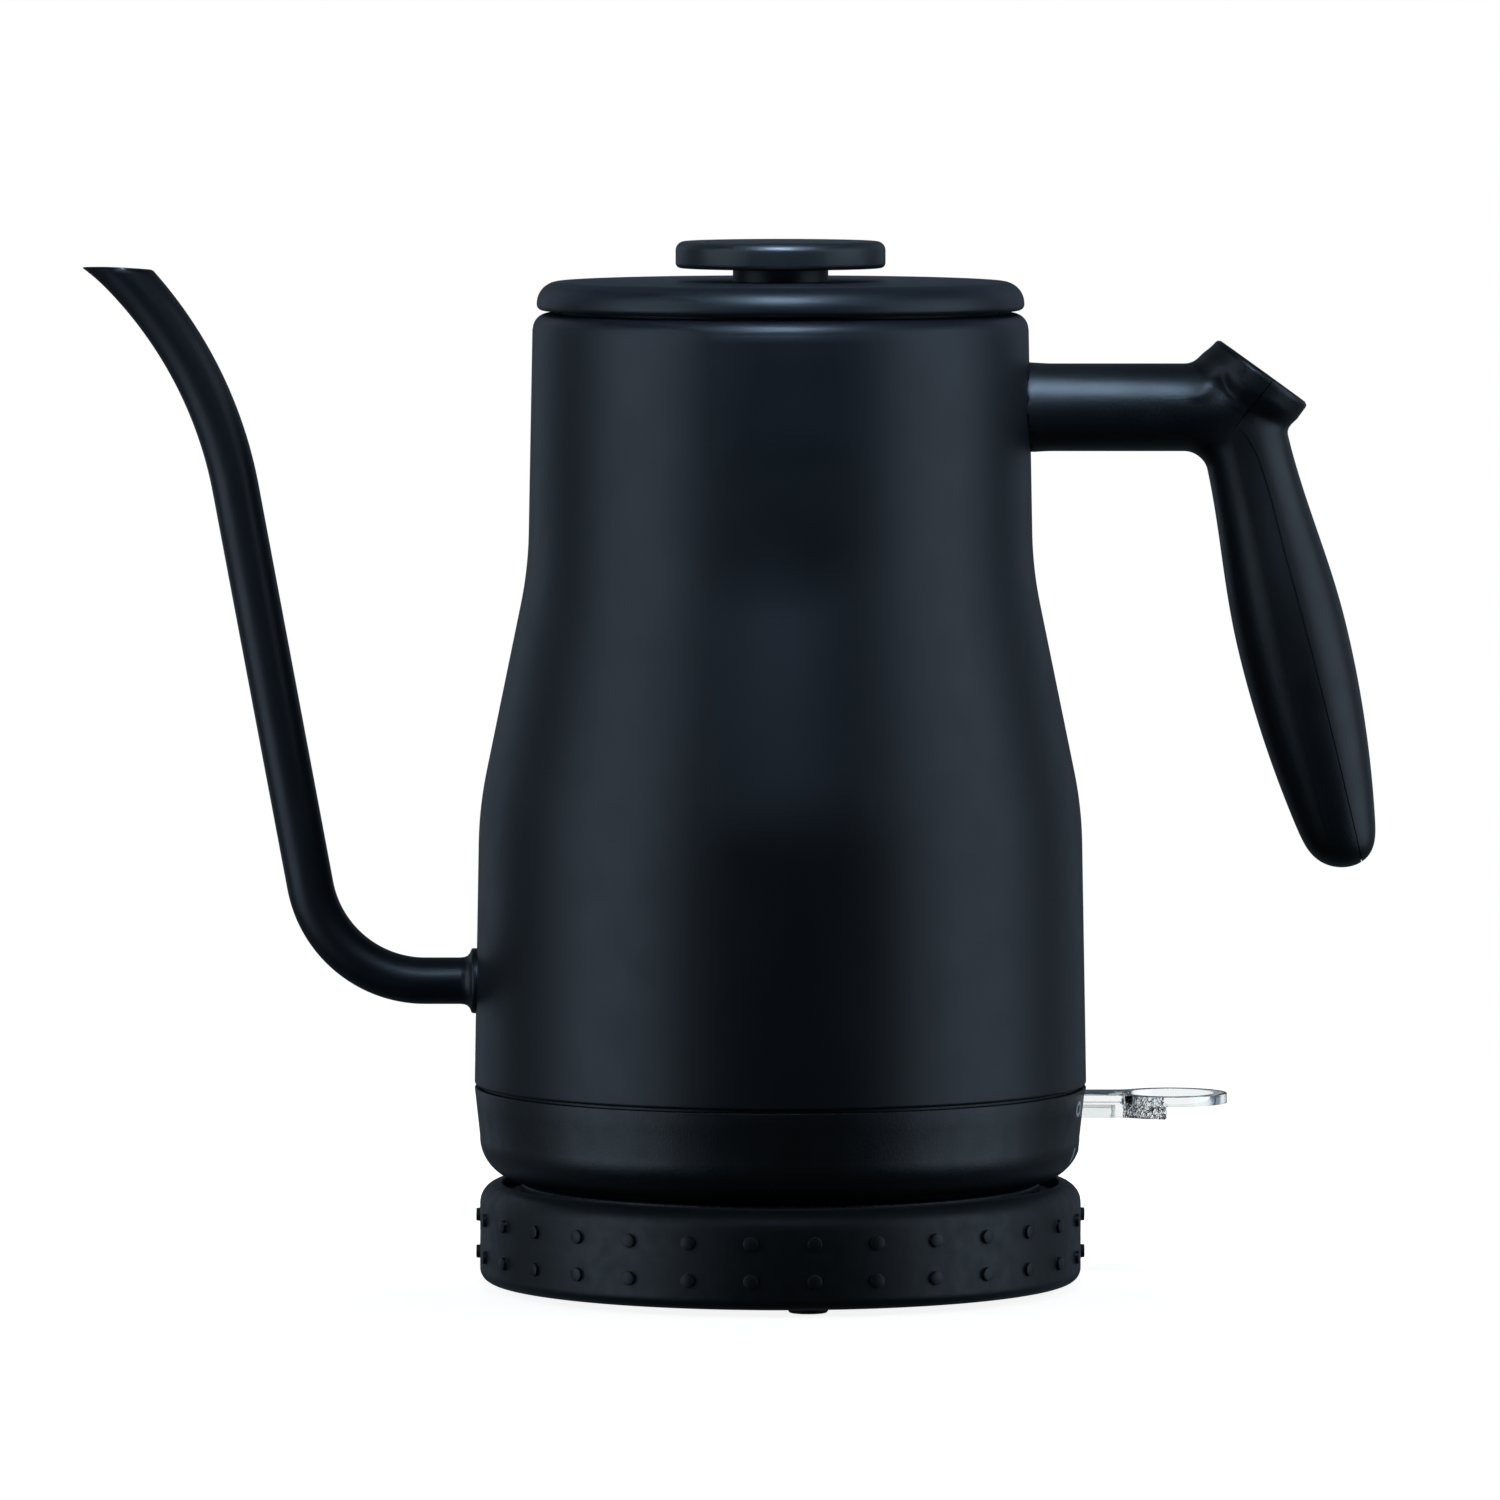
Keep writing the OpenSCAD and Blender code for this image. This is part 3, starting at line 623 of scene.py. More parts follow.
def spout_flange():
    """The pressed flange that flares on to the body's wall."""
    wall_x = side_r(SPOUT_Z)
    profile = [(SPOUT_R + 0.02, 3.2), (SPOUT_R + 0.1, 2.5), (SPOUT_R + 0.35, 1.9), (SPOUT_R + 0.85, 1.42),
               (SPOUT_R + 1.45, 1.16), (SPOUT_R + 1.72, 1.06), (SPOUT_R + 1.9, 0.86), (SPOUT_R + 1.95, 0.6),
               (SPOUT_R + 1.95, 0.2), (SPOUT_R + 1.95, -0.6), (SPOUT_R + 0.02, -0.6)]
    aim = Matrix.Translation((-wall_x, 0, SPOUT_Z)) @ Matrix.Rotation(-math.pi / 2, 4, "Y")
    verts, faces = lathe_mesh(profile, 96)
    bent = []
    for v in verts:
        # The foot of the flange follows the round wall
        drop = wall_x - math.sqrt(max(0, wall_x ** 2 - v[1] ** 2)) if v[2] < 1.5 else 0
        bent.append(tuple(aim @ Vector((v[0], v[1], v[2] - drop * (1 if v[2] < 0.7 else 0.8)))))
    piece = make_piece("spout_flange_ring", bent, faces, PAINT, 50)
    install(piece, "kettle", "painted_steel", "spout_flange")


# ---------- Lid ----------

def lid_cap():
    """The painted cap with its rolled edge."""
    low, high = LID_LOW[2], LID_HIGH[2]
    r = LID_HIGH[0]
    skin = 1.4
    cap = lathe("lid_cap_skin", soften([
        (r - skin, low, 0.2), (r, low, 1.2), (r, high, 4.6), (2.2, high, 0.2), (2.2, high - skin, 0),
        (r - skin - 2, high - skin, 0), (r - skin, high - skin - 2, 0)], 12), [PAINT], 320)
    install(cap, "lid", "painted_steel", "lid_cap")


def lid_knob():
    """The knob: a disc on a short stem."""
    top = KNOB_HIGH[2]
    knob_r = KNOB_HIGH[0]
    stem_r, stem_top = 10.0, KNOB_LOW[2] + 2.8
    knob = lathe("lid_knob_disc", soften([
        (0, KNOB_LOW[2]), (stem_r, KNOB_LOW[2], 0), (stem_r, stem_top, 0.5), (knob_r, stem_top, 1.1),
        (knob_r, top, 1.9), (0, top)], 10), PLASTIC, 256)
    install(knob, "lid", "black_plastic", "lid_knob")


def lid_plug():
    """The cup under the cap, which fits the body's neck."""
    plug_low, plug_high = (box[2] for box in node_box("lid_plug"))
    plug_r, brim_r = 45.5, node_box("lid_plug")[1][0]
    plug = lathe("lid_plug_cup", soften([
        (0, plug_low), (30, plug_low, 0), (31, plug_low + 0.5, 0), (plug_r - 6, plug_low + 0.5, 0),
        (plug_r - 5, plug_low, 0), (plug_r, plug_low, 1.0), (plug_r, plug_high - 1.4, 0.2),
        (brim_r, plug_high - 1.4, 0.3), (brim_r, plug_high, 0.3), (plug_r - 1.6, plug_high, 0.2),
        (plug_r - 1.6, plug_low + 1.6, 0.8), (0, plug_low + 1.6)], 5), PLASTIC, 256)
    install(plug, "lid", "black_plastic", "lid_plug")


def lid_seal():
    """The silicone ring round the cup."""
    seal_low, seal_high = (box[2] for box in node_box("lid_seal"))
    seal_r = node_box("lid_seal")[1][0]
    bore_r, base_r = 45.55, 46.5
    seal = lathe("lid_seal_ring", soften([
        (bore_r, seal_low, 0.15), (base_r, seal_low, 0.3), (seal_r, (seal_low + seal_high) / 2, 0.5),
        (base_r, seal_high, 0.3), (bore_r, seal_high, 0.15)], 5), SILICONE, 256)
    install(seal, "lid", "seal_silicone", "lid_seal")


# ---------- Collar and lever ----------

SLOT_W, SLOT_LOW, SLOT_TOP = 15.5, 29.2, 42.0
COLLAR_ROUND, COLLAR_ROUND_R, COLLAR_ROUND_Z = 9.0, 54.2, 32.0


def collar_r(z):
    """Outer radius of the collar at a height."""
    turn_z = COLLAR_ROUND_Z + COLLAR_ROUND * math.sin(math.radians(2))
    turn_r = COLLAR_ROUND_R + COLLAR_ROUND * math.cos(math.radians(2))
    if z < turn_z:
        return COLLAR_ROUND_R + math.sqrt(max(0, COLLAR_ROUND ** 2 - (z - COLLAR_ROUND_Z) ** 2))
    seam_r = side_r(SEAM_Z)
    return turn_r + (seam_r - turn_r) * (z - turn_z) / (SEAM_Z - turn_z)


def collar():
    """The moulded collar with its rounded foot and the lever's slot."""
    seam_r = side_r(SEAM_Z)
    skirt_z = SEAM_Z + 3.6
    arc = [(COLLAR_ROUND_R + COLLAR_ROUND * math.cos(a), COLLAR_ROUND_Z + COLLAR_ROUND * math.sin(a))
           for a in np.radians(np.linspace(-90, 2, 30))]
    top = soften([(collar_r(SEAM_Z - 4), SEAM_Z - 4, 0), (seam_r, SEAM_Z, 0.3), (62.9, SEAM_Z, 0),
                  (62.7, skirt_z, 0), (60.8, skirt_z, 0), (60.8, SEAM_Z, 0)], 4)
    inner = [(COLLAR_ROUND_R + 7 * math.cos(a), COLLAR_ROUND_Z + 7 * math.sin(a))
             for a in np.radians(np.linspace(2, -90, 16))]
    outline = [(52, COLLAR_Z)] + arc + top + inner + [(52, COLLAR_Z + 2)]
    piece = lathe("collar_shell", outline, PLASTIC, 320)
    slot = prism("slot", soften([
        (-SLOT_W / 2, SLOT_LOW, 1.6), (SLOT_W / 2, SLOT_LOW, 1.6), (SLOT_W / 2, SLOT_TOP, 0.8),
        (-SLOT_W / 2, SLOT_TOP, 0.8)], 6), 52, 70, PLASTIC,
        Matrix(((0, 0, 1, 0), (1, 0, 0, 0), (0, 1, 0, 0), (0, 0, 0, 1))))
    carve(piece, slot)
    install(piece, "kettle", "black_plastic", "collar")


def on_collar(angle, along, height, lift):
    """A point on the collar's wall, given by arc length from an angle and by height."""
    r = collar_r(height)
    a = angle + along / r
    return ((r + lift) * math.cos(a), (r + lift) * math.sin(a), height)


def printed_mark(name, path, width, closed):
    """A thin printed line that follows a path of (along, height) points on the collar."""
    angle = math.radians(-12.6)
    lift, sink = 0.05, -0.05
    verts, faces = [], []
    n = len(path)
    for i, (s, z) in enumerate(path):
        before = Vector(path[i - 1] if closed or i else path[i])
        after = Vector(path[(i + 1) % n] if closed or i < n - 1 else path[i])
        across = (after - before).normalized().orthogonal() * width / 2
        for side in (1, -1):
            for h in (lift, sink):
                verts.append(on_collar(angle, s + side * across.x, z + side * across.y, h))
    for i in range(n if closed else n - 1):
        a, b = 4 * i, 4 * ((i + 1) % n)
        faces += [(a, b, b + 2, a + 2), (a + 1, a + 3, b + 3, b + 1),
                  (a, a + 1, b + 1, b), (a + 2, b + 2, b + 3, a + 3)]
    if not closed:
        faces += [(0, 2, 3, 1), (4 * n - 4, 4 * n - 3, 4 * n - 1, 4 * n - 2)]
    piece = make_piece(name, verts, faces, INK)
    install(piece, "kettle", "mark_white")


def marks():
    """The generic off ring and on bar beside the lever's slot."""
    ring_w, ring_h, off_z = 1.755, 1.3, 38.8
    bar_h, on_z = 1.45, 29.1
    ring = [(ring_w * math.cos(a), off_z + ring_h * math.sin(a))
            for a in np.linspace(0, 2 * math.pi, 40, endpoint=False)]
    printed_mark("mark_off", ring, 0.7, True)
    bar = [(0, z) for z in np.linspace(on_z - bar_h, on_z + bar_h, 9)]
    printed_mark("mark_on", bar, 1.0, False)


def lever():
    """The clear lever: a plate with a finger hole, on a hollow skirt."""
    low, top = LEVER_LOW[2], LEVER_HIGH[2]
    start = LEVER_LOW[0]
    ring_r = LEVER_HIGH[1]
    ring_x = LEVER_HIGH[0] - ring_r
    hole_r, plate, half = 9.1, 2.0, 7.25
    wall, back_wall = 2.3, 2.5
    skirt_end = ring_x - 0.5

    def paddle(inset, until=None):
        """Outline of the arm and its ring, joined by a concave fillet; it may stop short along X."""
        r, w, fillet = ring_r - inset, half - inset, 5.0
        cx = -math.sqrt((r + fillet) ** 2 - (w + fillet) ** 2)
        meet = math.atan2(w + fillet, cx)
        ring = [(ring_x + r * math.cos(a), r * math.sin(a)) for a in np.linspace(-meet, meet, 72)]
        bend = [(ring_x + cx + fillet * math.cos(a), w + fillet + fillet * math.sin(a))
                for a in np.linspace(meet - math.pi, -math.pi / 2, 8)]
        mirrored = [(x, -y) for x, y in bend[::-1]]
        outline = mirrored + ring[1:-1] + bend + [(start, w), (start, -w)]
        return [p for p in outline if until is None or p[0] < until]

    piece = prism("lever_plate", paddle(0), top - plate, top, ACRYLIC)
    skirt = prism("lever_skirt", paddle(0.5, skirt_end), low, top - plate + 0.4, ACRYLIC)
    inside = soften([
        (start + back_wall, wall - half, 1), (ring_x - ring_r, wall - half, 0),
        (ring_x - ring_r, half - wall, 0), (start + back_wall, half - wall, 1)], 4)
    carve(skirt, prism("hollow", inside, low - 1, top - plate, ACRYLIC))
    carve(piece, skirt, "UNION")
    hole = prism("hole", circle(ring_x, 0, hole_r, 96), low - 2, top + 2, ACRYLIC)
    carve(piece, hole)
    piece.name = "switch_lever_paddle"
    clean(piece)
    round_edges(piece, 0.4, 3, 50)
    install(piece, "switch", "clear_acrylic", "switch_lever")


# ---------- Handle ----------

NECK_T, BELLY_T, TAIL_T, TAIL_R = 8.0, 50.0, 87.0, 8.72


def grip_radius(t):
    """Radius of the grip at distances down its axis from the elbow."""
    neck = ARM_R - 0.15
    rise = np.sin(np.clip((t - NECK_T) / (BELLY_T - NECK_T), 0, 1) * math.pi / 2) ** 2
    upper = neck + (GRIP_R - neck) * rise
    lower = GRIP_R - (GRIP_R - TAIL_R) * ((t - BELLY_T) / (TAIL_T - BELLY_T)) ** 2
    return np.where(t < BELLY_T, upper, lower)


def blend(a, b, r):
    """The union of two distances, with a fillet of radius r in the corner between them."""
    return np.maximum(r, np.minimum(a, b)) - np.hypot(np.maximum(r - a, 0), np.maximum(r - b, 0))


def clip_round(a, b, r):
    """Where both distances hold, with the edge between them rounded to radius r."""
    return np.minimum(-r, np.maximum(a, b)) + np.hypot(np.maximum(r + a, 0), np.maximum(r + b, 0))


def ease(value, start, end):
    """0 before start, 1 after end, and a smooth step between."""
    h = np.clip((value - start) / (end - start), 0, 1)
    return h * h * (3 - 2 * h)


def handle_distance(p):
    """Signed distance, near enough, from points to the handle's skin."""
    x, y, z = p[..., 0] - ELBOW_X, p[..., 1], p[..., 2] - ARM_Z
    flare = ease(-p[..., 0], -57, -51) * 0.25
    arm = np.sqrt(y ** 2 + z ** 2 + np.maximum(x, 0) ** 2) - (ARM_R + flare)
    # The grip, which ends nearly flat with a soft corner
    u = x * math.cos(LEAN) + z * math.sin(LEAN)
    t = x * math.sin(LEAN) - z * math.cos(LEAN)
    width = grip_radius(np.clip(t, 0, GRIP_LEN))
    across = np.hypot(u, y)
    tail = 12.4
    reach = np.clip((t - 0.1 * u - GRIP_LEN + tail) / tail, 0, None)
    end = ((reach ** 5 + (across / width) ** 2) ** 0.5 - 1) * 7
    grip = np.sqrt(across ** 2 + np.minimum(t, 0) ** 2) - width
    grip = np.where(reach > 0, np.maximum(grip, end), grip)
    inner_corner = ease(-x - z, 2, 16)
    d = blend(arm, grip, 0.05 + 3.8 * inner_corner)
    # The stub swells to its flat face, the thumb rest
    side = x * math.cos(THUMB) - z * math.sin(THUMB)
    up = x * math.sin(THUMB) + z * math.cos(THUMB)
    stub_r = ARM_R + 0.05 + (THUMB_R - ARM_R - 0.05) * ease(up, 0.2, 5.6)
    stub = np.maximum(np.hypot(side, y) - stub_r, -up)
    d = blend(d, stub, 0.6 + np.where(side < 0, 4.4, 1.8) * ease(np.abs(side), 4, 9))
    d = clip_round(d, up - THUMB_H, 0.9)
    # The arm stops just inside the body's wall
    wall = RIM_R + (RIM_R_Z - p[..., 2]) * TOP_SLOPE - 0.3
    return np.maximum(d, wall - np.hypot(p[..., 0], y))


def slopes(distance, points, step=0.02):
    """Unit normals of a distance field, and its slopes along each axis."""
    out = np.zeros_like(points)
    for axis in range(3):
        shift = np.zeros(3)
        shift[axis] = step
        out[:, axis] = distance(points + shift) - distance(points - shift)
    return out / np.maximum(np.linalg.norm(out, axis=1, keepdims=True), 1e-9), out / (2 * step)


def settle(distance, points):
    """Moves points on to the surface."""
    for _ in range(3):
        _, slope = slopes(distance, points)
        steep = np.maximum((slope ** 2).sum(1, keepdims=True), 0.05)
        points = points - distance(points)[:, None] * slope / steep
    return points


def surface_net(distance, low, high, cell):
    """Quads over the surface where a distance field is zero."""
    axes = [np.arange(a, b + cell, cell) for a, b in zip(low, high)]
    grid = np.stack(np.meshgrid(*axes, indexing="ij"), -1)
    d = distance(grid)
    inside = d < 0
    n = np.array(d.shape) - 1
    sums = np.zeros(n, int)
    for i, j, k in np.ndindex(2, 2, 2):
        sums += inside[i:i + n[0], j:j + n[1], k:k + n[2]]
    crossed = (sums > 0) & (sums < 8)
    index = np.full(n, -1)
    index[crossed] = np.arange(crossed.sum())
    total, hits = np.zeros((crossed.sum(), 3)), np.zeros(crossed.sum())
    faces = []
    for axis in range(3):
        b, c = (axis + 1) % 3, (axis + 2) % 3
        start = [slice(None)] * 3
        end = [slice(None)] * 3
        start[axis], end[axis] = slice(0, -1), slice(1, None)
        da, db = d[tuple(start)], d[tuple(end)]
        edges = np.argwhere((da < 0) != (db < 0))
        va, vb = da[tuple(edges.T)], db[tuple(edges.T)]
        points = np.stack([axes[m][edges[:, m]] for m in range(3)], 1)
        points[:, axis] += cell * va / (va - vb)
        corners = []
        for ob, oc in ((-1, -1), (0, -1), (0, 0), (-1, 0)):
            cellpos = edges.copy()
            cellpos[:, b] += ob
            cellpos[:, c] += oc
            corners.append(index[tuple(cellpos.T)])
            np.add.at(total, corners[-1], points)
            np.add.at(hits, corners[-1], 1)
        quads = np.stack(corners, 1)
        quads[vb < 0] = quads[vb < 0][:, ::-1]
        faces.append(quads)
    return total / hits[:, None], np.concatenate(faces)


def relax(distance, points, faces, rounds=6):
    """Evens out a net by moving each point towards its neighbours and back to the surface."""
    for _ in range(rounds):
        total, count = np.zeros_like(points), np.zeros(len(points))
        for k in range(4):
            a, b = faces[:, k], faces[:, (k + 1) % 4]
            np.add.at(total, a, points[b])
            np.add.at(count, a, 1)
            np.add.at(total, b, points[a])
            np.add.at(count, b, 1)
        points = settle(distance, points + 0.6 * (total / count[:, None] - points))
    return points


def grip_point(u, t):
    """A point of the handle's middle plane, from grip coordinates to (x, z)."""
    return (ELBOW_X + u * math.cos(LEAN) + t * math.sin(LEAN),
            ARM_Z + u * math.sin(LEAN) - t * math.cos(LEAN))


def seam_cutter(shift):
    """A prism over the back side of the handle's seam, moved square to the seam by shift."""
    seam = [(ELBOW_X + 7.2 + 9 * math.sin(THUMB), ARM_Z + 5.7 + 9 * math.cos(THUMB))]
    seam += [grip_point(u, t) for u, t in ((-1.4, 3.4), (0.3, 6.2), (1.35, 9.6), (1.9, 14), (2.15, 20),
                                           (2.3, 31), (2.7, 43), (3.0, 57), (3.2, 75), (3.2, 120))]
    moved = []
    for before, here, after in zip([seam[0]] + seam[:-1], seam, seam[1:] + [seam[-1]]):
        along = (Vector(after) - Vector(before)).normalized()
        moved.append((here[0] - along.y * shift, here[1] + along.x * shift))
    outline = moved + [(180, 60), (180, 230), (115, 230)]
    stand = Matrix(((1, 0, 0, 0), (0, 0, 1, 0), (0, 1, 0, 0), (0, 0, 0, 1)))
    return prism("seam_cutter", outline, -30, 30, PLASTIC, stand)


def handle():
    """The handle as one smooth moulding, parted along its seam into front and back cover."""
    cell = 0.7
    points, faces = surface_net(handle_distance, (50, -13.5, 84), (127, 13.5, 203), cell)
    points = relax(handle_distance, settle(handle_distance, points), faces)
    quads = [tuple(int(i) for i in face) for face in faces]
    gap, tongue_depth = 0.11, 0.45
    front = make_piece("handle_front_shell", points, quads, PLASTIC, 40)
    back = make_piece("handle_back_cover", points, quads, PLASTIC, 40)
    carve(front, seam_cutter(-gap), "DIFFERENCE", 40)
    carve(back, seam_cutter(gap), "INTERSECT", 40)
    # A tongue behind the seam, so that no light comes through it
    normals, _ = slopes(handle_distance, points)
    core = make_piece("handle_core", points - tongue_depth * normals, quads, PLASTIC, 40)
    front = join("handle_front_shell", [front, core])
    install(front, "kettle", "black_plastic", "handle_front")
    install(back, "kettle", "black_plastic", "handle_back")


# ---------- Power base ----------

def base_band():
    """The rubber band with two rows of moulded studs."""
    low, high = BAND_LOW[2], BAND_HIGH[2]
    inner_r, lip_r, lip_z = 60.25, 58.45, 19.85
    outline = soften([
        (inner_r, low, 0), (BAND_R, low, 2.7), (BAND_R, high, 4.3), (lip_r, high, 0.35),
        (lip_r, lip_z, 0), (inner_r, lip_z, 0)], 12)
    band = lathe("base_band_skin", outline, RUBBER, 360)
    aim = Matrix.Rotation(-math.pi / 2, 4, "X")
    carve(band, prism("gland_hole", circle(0, -GLAND_Z, GLAND_HOLE_R), 50, 70, RUBBER, aim))
    stud_outline = [
        (0, -0.2), (STUD_R + 0.14, -0.2), (STUD_R + 0.13, 0.02), (STUD_R + 0.03, 0.07), (STUD_R, 0.17),
        (STUD_R, STUD_H - 0.14), (STUD_R - 0.04, STUD_H - 0.04), (STUD_R - 0.14, STUD_H), (0, STUD_H)]
    stud_verts, stud_faces = lathe_mesh(stud_outline, 24)
    verts, faces = [], []
    for height in STUD_ROWS:
        for k in range(STUDS):
            degrees = FRONT_ANGLE + 360 * k / STUDS
            # No studs where the cord's gland comes out
            if abs(degrees - 90) < 9:
                continue
            place = (Matrix.Rotation(math.radians(degrees), 4, "Z")
                     @ Matrix.Translation((BAND_R, 0, height)) @ Matrix.Rotation(math.pi / 2, 4, "Y"))
            first = len(verts)
            verts += [tuple(place @ Vector(v)) for v in stud_verts]
            faces += [tuple(first + i for i in face) for face in stud_faces]
    studs = make_piece("band_studs", verts, faces, RUBBER, 40)
    band = join("base_band_skin", [band, studs])
    install(band, "power_base", "band_rubber", "base_band")


def base_shell():
    """The hard shell: a raised textured deck with shallow rings, inside a groove."""
    bore_r, deck_r, groove_z, groove_end, skin = 18.2, 54.5, 20, 58.35, 2
    inner_r, wall_r, outer_r, ledge_z = 56.4, 58.2, 60.15, 19.75
    plate_z, foot_z = 3.5, 1.5
    ring_depth, ring_slope = 0.5, 0.5
    deck = []
    for ring_out, ring_in in ((48.8, 46.4), (27.5, 25.1)):
        deck += [(ring_out, DECK_Z, 0.15), (ring_out - ring_slope, DECK_Z - ring_depth, 0.15),
                 (ring_in + ring_slope, DECK_Z - ring_depth, 0.15), (ring_in, DECK_Z, 0.15)]
    outline = soften([
        (bore_r, groove_z, 0), (deck_r - skin, groove_z, 0), (deck_r - skin, groove_z - skin, 0),
        (inner_r, groove_z - skin, 0), (inner_r, plate_z, 0), (wall_r, plate_z, 0), (wall_r, foot_z, 0),
        (outer_r, foot_z, 0), (outer_r, ledge_z, 0), (groove_end, ledge_z, 0), (groove_end, groove_z, 0),
        (deck_r, groove_z, 0), (deck_r, DECK_Z, 0.4), *deck, (bore_r, DECK_Z, 0.3)], 4)
    shell = lathe("base_shell_skin", outline, DECK, 256)
    install(shell, "power_base", "black_plastic", "base_shell")


def base_feet():
    """Four rubber feet with rounded rims, each with a short stem into the bottom plate."""
    low, high = node_box("base_feet")
    foot_r, rim, ring = 4.4, 0.9, 51.0
    outline = soften([(0, 0), (foot_r - 0.5, 0, 0.4), (foot_r, rim, 0.8), (foot_r, 1.5, 0), (2.45, 1.5, 0),
                      (2.45, high[2], 0.3), (0, high[2])], 5)
    one_verts, one_faces = lathe_mesh(outline, 64)
    verts, faces = [], []
    for k in range(4):
        place = (Matrix.Rotation(math.radians(FRONT_ANGLE + 90 * k), 4, "Z")
                 @ Matrix.Translation((ring, 0, low[2])))
        first = len(verts)
        verts += [tuple(place @ Vector(v)) for v in one_verts]
        faces += [tuple(first + i for i in face) for face in one_faces]
    feet = make_piece("base_feet_pads", verts, faces, FOOT)
    install(feet, "power_base", "foot_rubber", "base_feet")


def cord_gland():
    """The flanged grommet that the mains cord would pass through."""
    low, high = node_box("cord_gland")
    y0, y1 = low[1], high[1]
    aim = Matrix.Translation((0, y0, GLAND_Z)) @ Matrix.Rotation(-math.pi / 2, 4, "X")
    length = y1 - y0
    outline = soften([
        (3.3, 0, 0.3), (6.2, 0, 0.4), (6.2, 2.2, 0.2), (5.0, 2.2, 0), (5.0, length, 0.5),
        (3.3, length, 0.4)], 5)
    gland = lathe("cord_gland_grommet", outline, RUBBER, 96, aim)
    install(gland, "power_base", "band_rubber", "cord_gland")


# ---------- Nodes that keep their CAD shape ----------

CAD_FINISHES = {
    "base_bottom": DARK_PLASTIC, "base_screws": SCREW, "base_connector": DARK_PLASTIC,
    "connector_contacts": BRASS, "terminal_block": PALE_PLASTIC, "connector_socket": DARK_PLASTIC,
    "socket_contacts": BRASS, "vessel_floor": SPUN, "steam_tube": STEEL, "heat_spreader": ALUMINIUM,
    "heating_element": SCREW, "control_unit": PALE_PLASTIC, "bimetal_disc": SCREW,
    "steam_switch": PALE_PLASTIC, "collar_seal": SILICONE, "bottom_cover": DARK_PLASTIC,
    "cover_screws": SCREW, "switch_bracket": PALE_PLASTIC, "bracket_screws": SCREW,
    "switch_axle": SCREW, "indicator_led": LED, "switch_carrier": DARK_PLASTIC,
    "handle_bracket": STEEL, "handle_bolt": SCREW, "knob_screw": SCREW,
}


def finish_cad_nodes():
    for name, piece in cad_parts.items():
        finish = CAD_FINISHES.get(name)
        if finish is None:
            continue
        for slot in piece.material_slots:
            slot.link = "OBJECT"
            slot.material = finish


# ---------- Stage ----------

def floor():
    """A pale round floor that only the camera sees; its rim is as white as the backdrop."""
    radius, rim = 560, 96
    ring = [(radius * MM * math.cos(2 * math.pi * k / rim), radius * MM * math.sin(2 * math.pi * k / rim), 0)
            for k in range(rim)]
    mesh = bpy.data.meshes.new("floor")
    mesh.from_pydata(ring, [], [tuple(range(rim))])
    disc = bpy.data.objects.new("floor", mesh)
    bpy.context.scene.collection.objects.link(disc)
    pale = Finish("floor_paper", (0.86, 0.72, 0.60), 0.9, specular=0.0)
    distance, _ = pale.radius()
    glow = pale.spread(distance, 0.88, 1.0, 0.06, 0.34)
    pale.links.new(glow, pale.shader.inputs["Emission Strength"])
    pale.shader.inputs["Emission Color"].default_value = (1, 1, 1, 1)
    mesh.materials.append(pale.material)
    disc.visible_glossy = False
    disc.visible_diffuse = False
    disc.visible_transmission = False


TINT = (0.62, 0.80, 1.0)
COLD = (0.50, 0.72, 1.0)


def studio_world():
    """White for the camera and straight through clear parts; a dim blue-grey room for everything else."""
    world = bpy.data.worlds.new("studio")
    bpy.context.scene.world = world
    world.use_nodes = True
    nodes, links = world.node_tree.nodes, world.node_tree.links
    nodes.clear()
    place = nodes.new("ShaderNodeTexCoord")
    split = nodes.new("ShaderNodeSeparateXYZ")
    links.new(place.outputs["Generated"], split.inputs["Vector"])

    def ramp(low, high, start, end):
        node = nodes.new("ShaderNodeMapRange")
        node.interpolation_type = "SMOOTHSTEP"
        for socket, value in (("From Min", low), ("From Max", high), ("To Min", start), ("To Max", end)):
            node.inputs[socket].default_value = value
        links.new(split.outputs["Y"], node.inputs["Value"])
        return node.outputs["Result"]

    def calculate(operation, a, b):
        node = nodes.new("ShaderNodeMath")
        node.operation = operation
        links.new(a, node.inputs[0])
        links.new(b, node.inputs[1])
        return node.outputs["Value"]

    ray = nodes.new("ShaderNodeLightPath")
    through = calculate("MULTIPLY", ray.outputs["Is Transmission Ray"], ramp(0.80, 0.97, 0, 1))
    white = calculate("MAXIMUM", ray.outputs["Is Camera Ray"], through)
    room = nodes.new("ShaderNodeBackground")
    room.inputs["Color"].default_value = (*TINT, 1)
    links.new(ramp(-0.4, 1.0, 0.015, 0.12), room.inputs["Strength"])
    backdrop = nodes.new("ShaderNodeBackground")
    backdrop.inputs["Color"].default_value = (1, 1, 1, 1)
    mix = nodes.new("ShaderNodeMixShader")
    links.new(white, mix.inputs["Fac"])
    links.new(room.outputs["Background"], mix.inputs[1])
    links.new(backdrop.outputs["Background"], mix.inputs[2])
    out = nodes.new("ShaderNodeOutputWorld")
    links.new(mix.outputs["Shader"], out.inputs["Surface"])


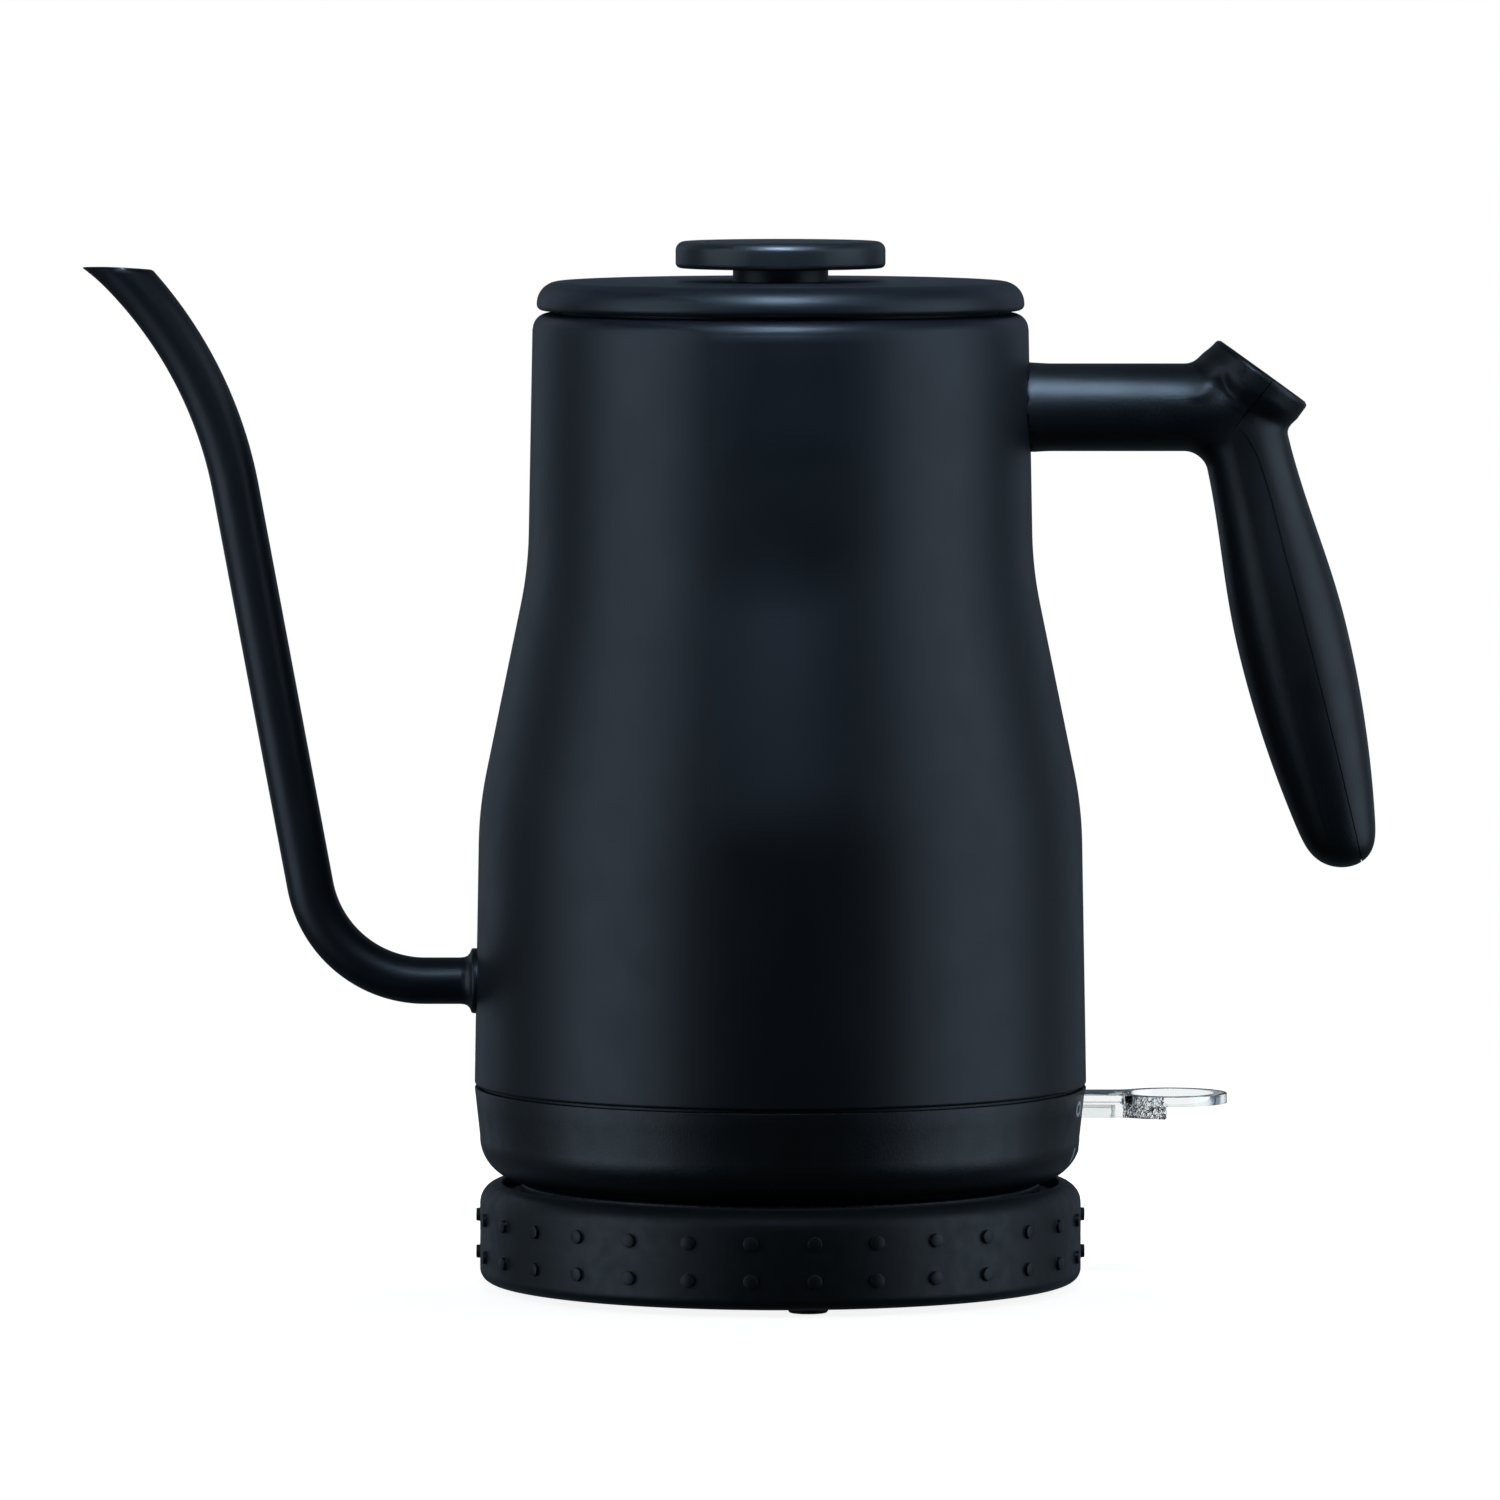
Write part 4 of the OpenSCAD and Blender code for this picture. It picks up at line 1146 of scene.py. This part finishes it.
def softbox(name, azimuth, elevation, distance, width, height, radiance, colour=TINT, aim=0.11, beam=90):
    """A soft panel aimed at a height on the axis, with a cone of twice beam degrees.

    Azimuth 0 is the camera's side and 90 the handle's.
    """
    a, e, b = math.radians(azimuth), math.radians(elevation), math.radians(beam)
    middle = Vector((0, 0, aim))
    away = Vector((math.sin(a) * math.cos(e), -math.cos(a) * math.cos(e), math.sin(e)))
    light = bpy.data.lights.new(name, "AREA")
    light.shape = "RECTANGLE"
    light.size, light.size_y = width, height
    light.spread = 2 * b
    light.energy = radiance * math.pi * width * height * (1 - b / math.tan(b))
    light.color = colour
    lamp = bpy.data.objects.new(name, light)
    lamp.location = middle + away * distance
    lamp.rotation_euler = (-away).to_track_quat("-Z", "Y").to_euler()
    lamp.visible_camera = False
    bpy.context.scene.collection.objects.link(lamp)


def lights():
    softbox("panel_left", -66, 6, 1.3, 1.1, 1.5, 1.45)
    softbox("panel_right", 76, 6, 1.3, 1.25, 1.5, 1.35)
    softbox("front_high", 0, 42, 1.5, 0.55, 0.12, 185, COLD, 0.14, 5.3)
    softbox("lid_glow", 0, 55, 1.5, 0.1, 0.06, 6000, COLD, 0.235, 2.7)
    softbox("back_left", -140, 12, 1.4, 0.7, 1.2, 0.3)
    softbox("back_right", 140, 12, 1.4, 0.7, 1.2, 0.2)


def camera():
    target = Vector((-0.0064, 0, 0.1132))
    distance, elevation = 2.709, math.radians(3.68)
    data = bpy.data.cameras.new("camera")
    data.sensor_width = 36
    data.lens = 309.6
    data.clip_start, data.clip_end = 0.1, 50
    eye = bpy.data.objects.new("camera", data)
    eye.location = target + Vector((0, -math.cos(elevation), math.sin(elevation))) * distance
    eye.rotation_euler = (target - eye.location).to_track_quat("-Z", "Y").to_euler()
    bpy.context.scene.collection.objects.link(eye)
    bpy.context.scene.camera = eye


kettle_body()
spout()
spout_flange()
lid_cap()
lid_knob()
lid_plug()
lid_seal()
collar()
marks()
lever()
handle()
base_band()
base_shell()
base_feet()
cord_gland()
finish_cad_nodes()
floor()
studio_world()
lights()
camera()
bpy.context.scene.view_settings.view_transform = "Standard"
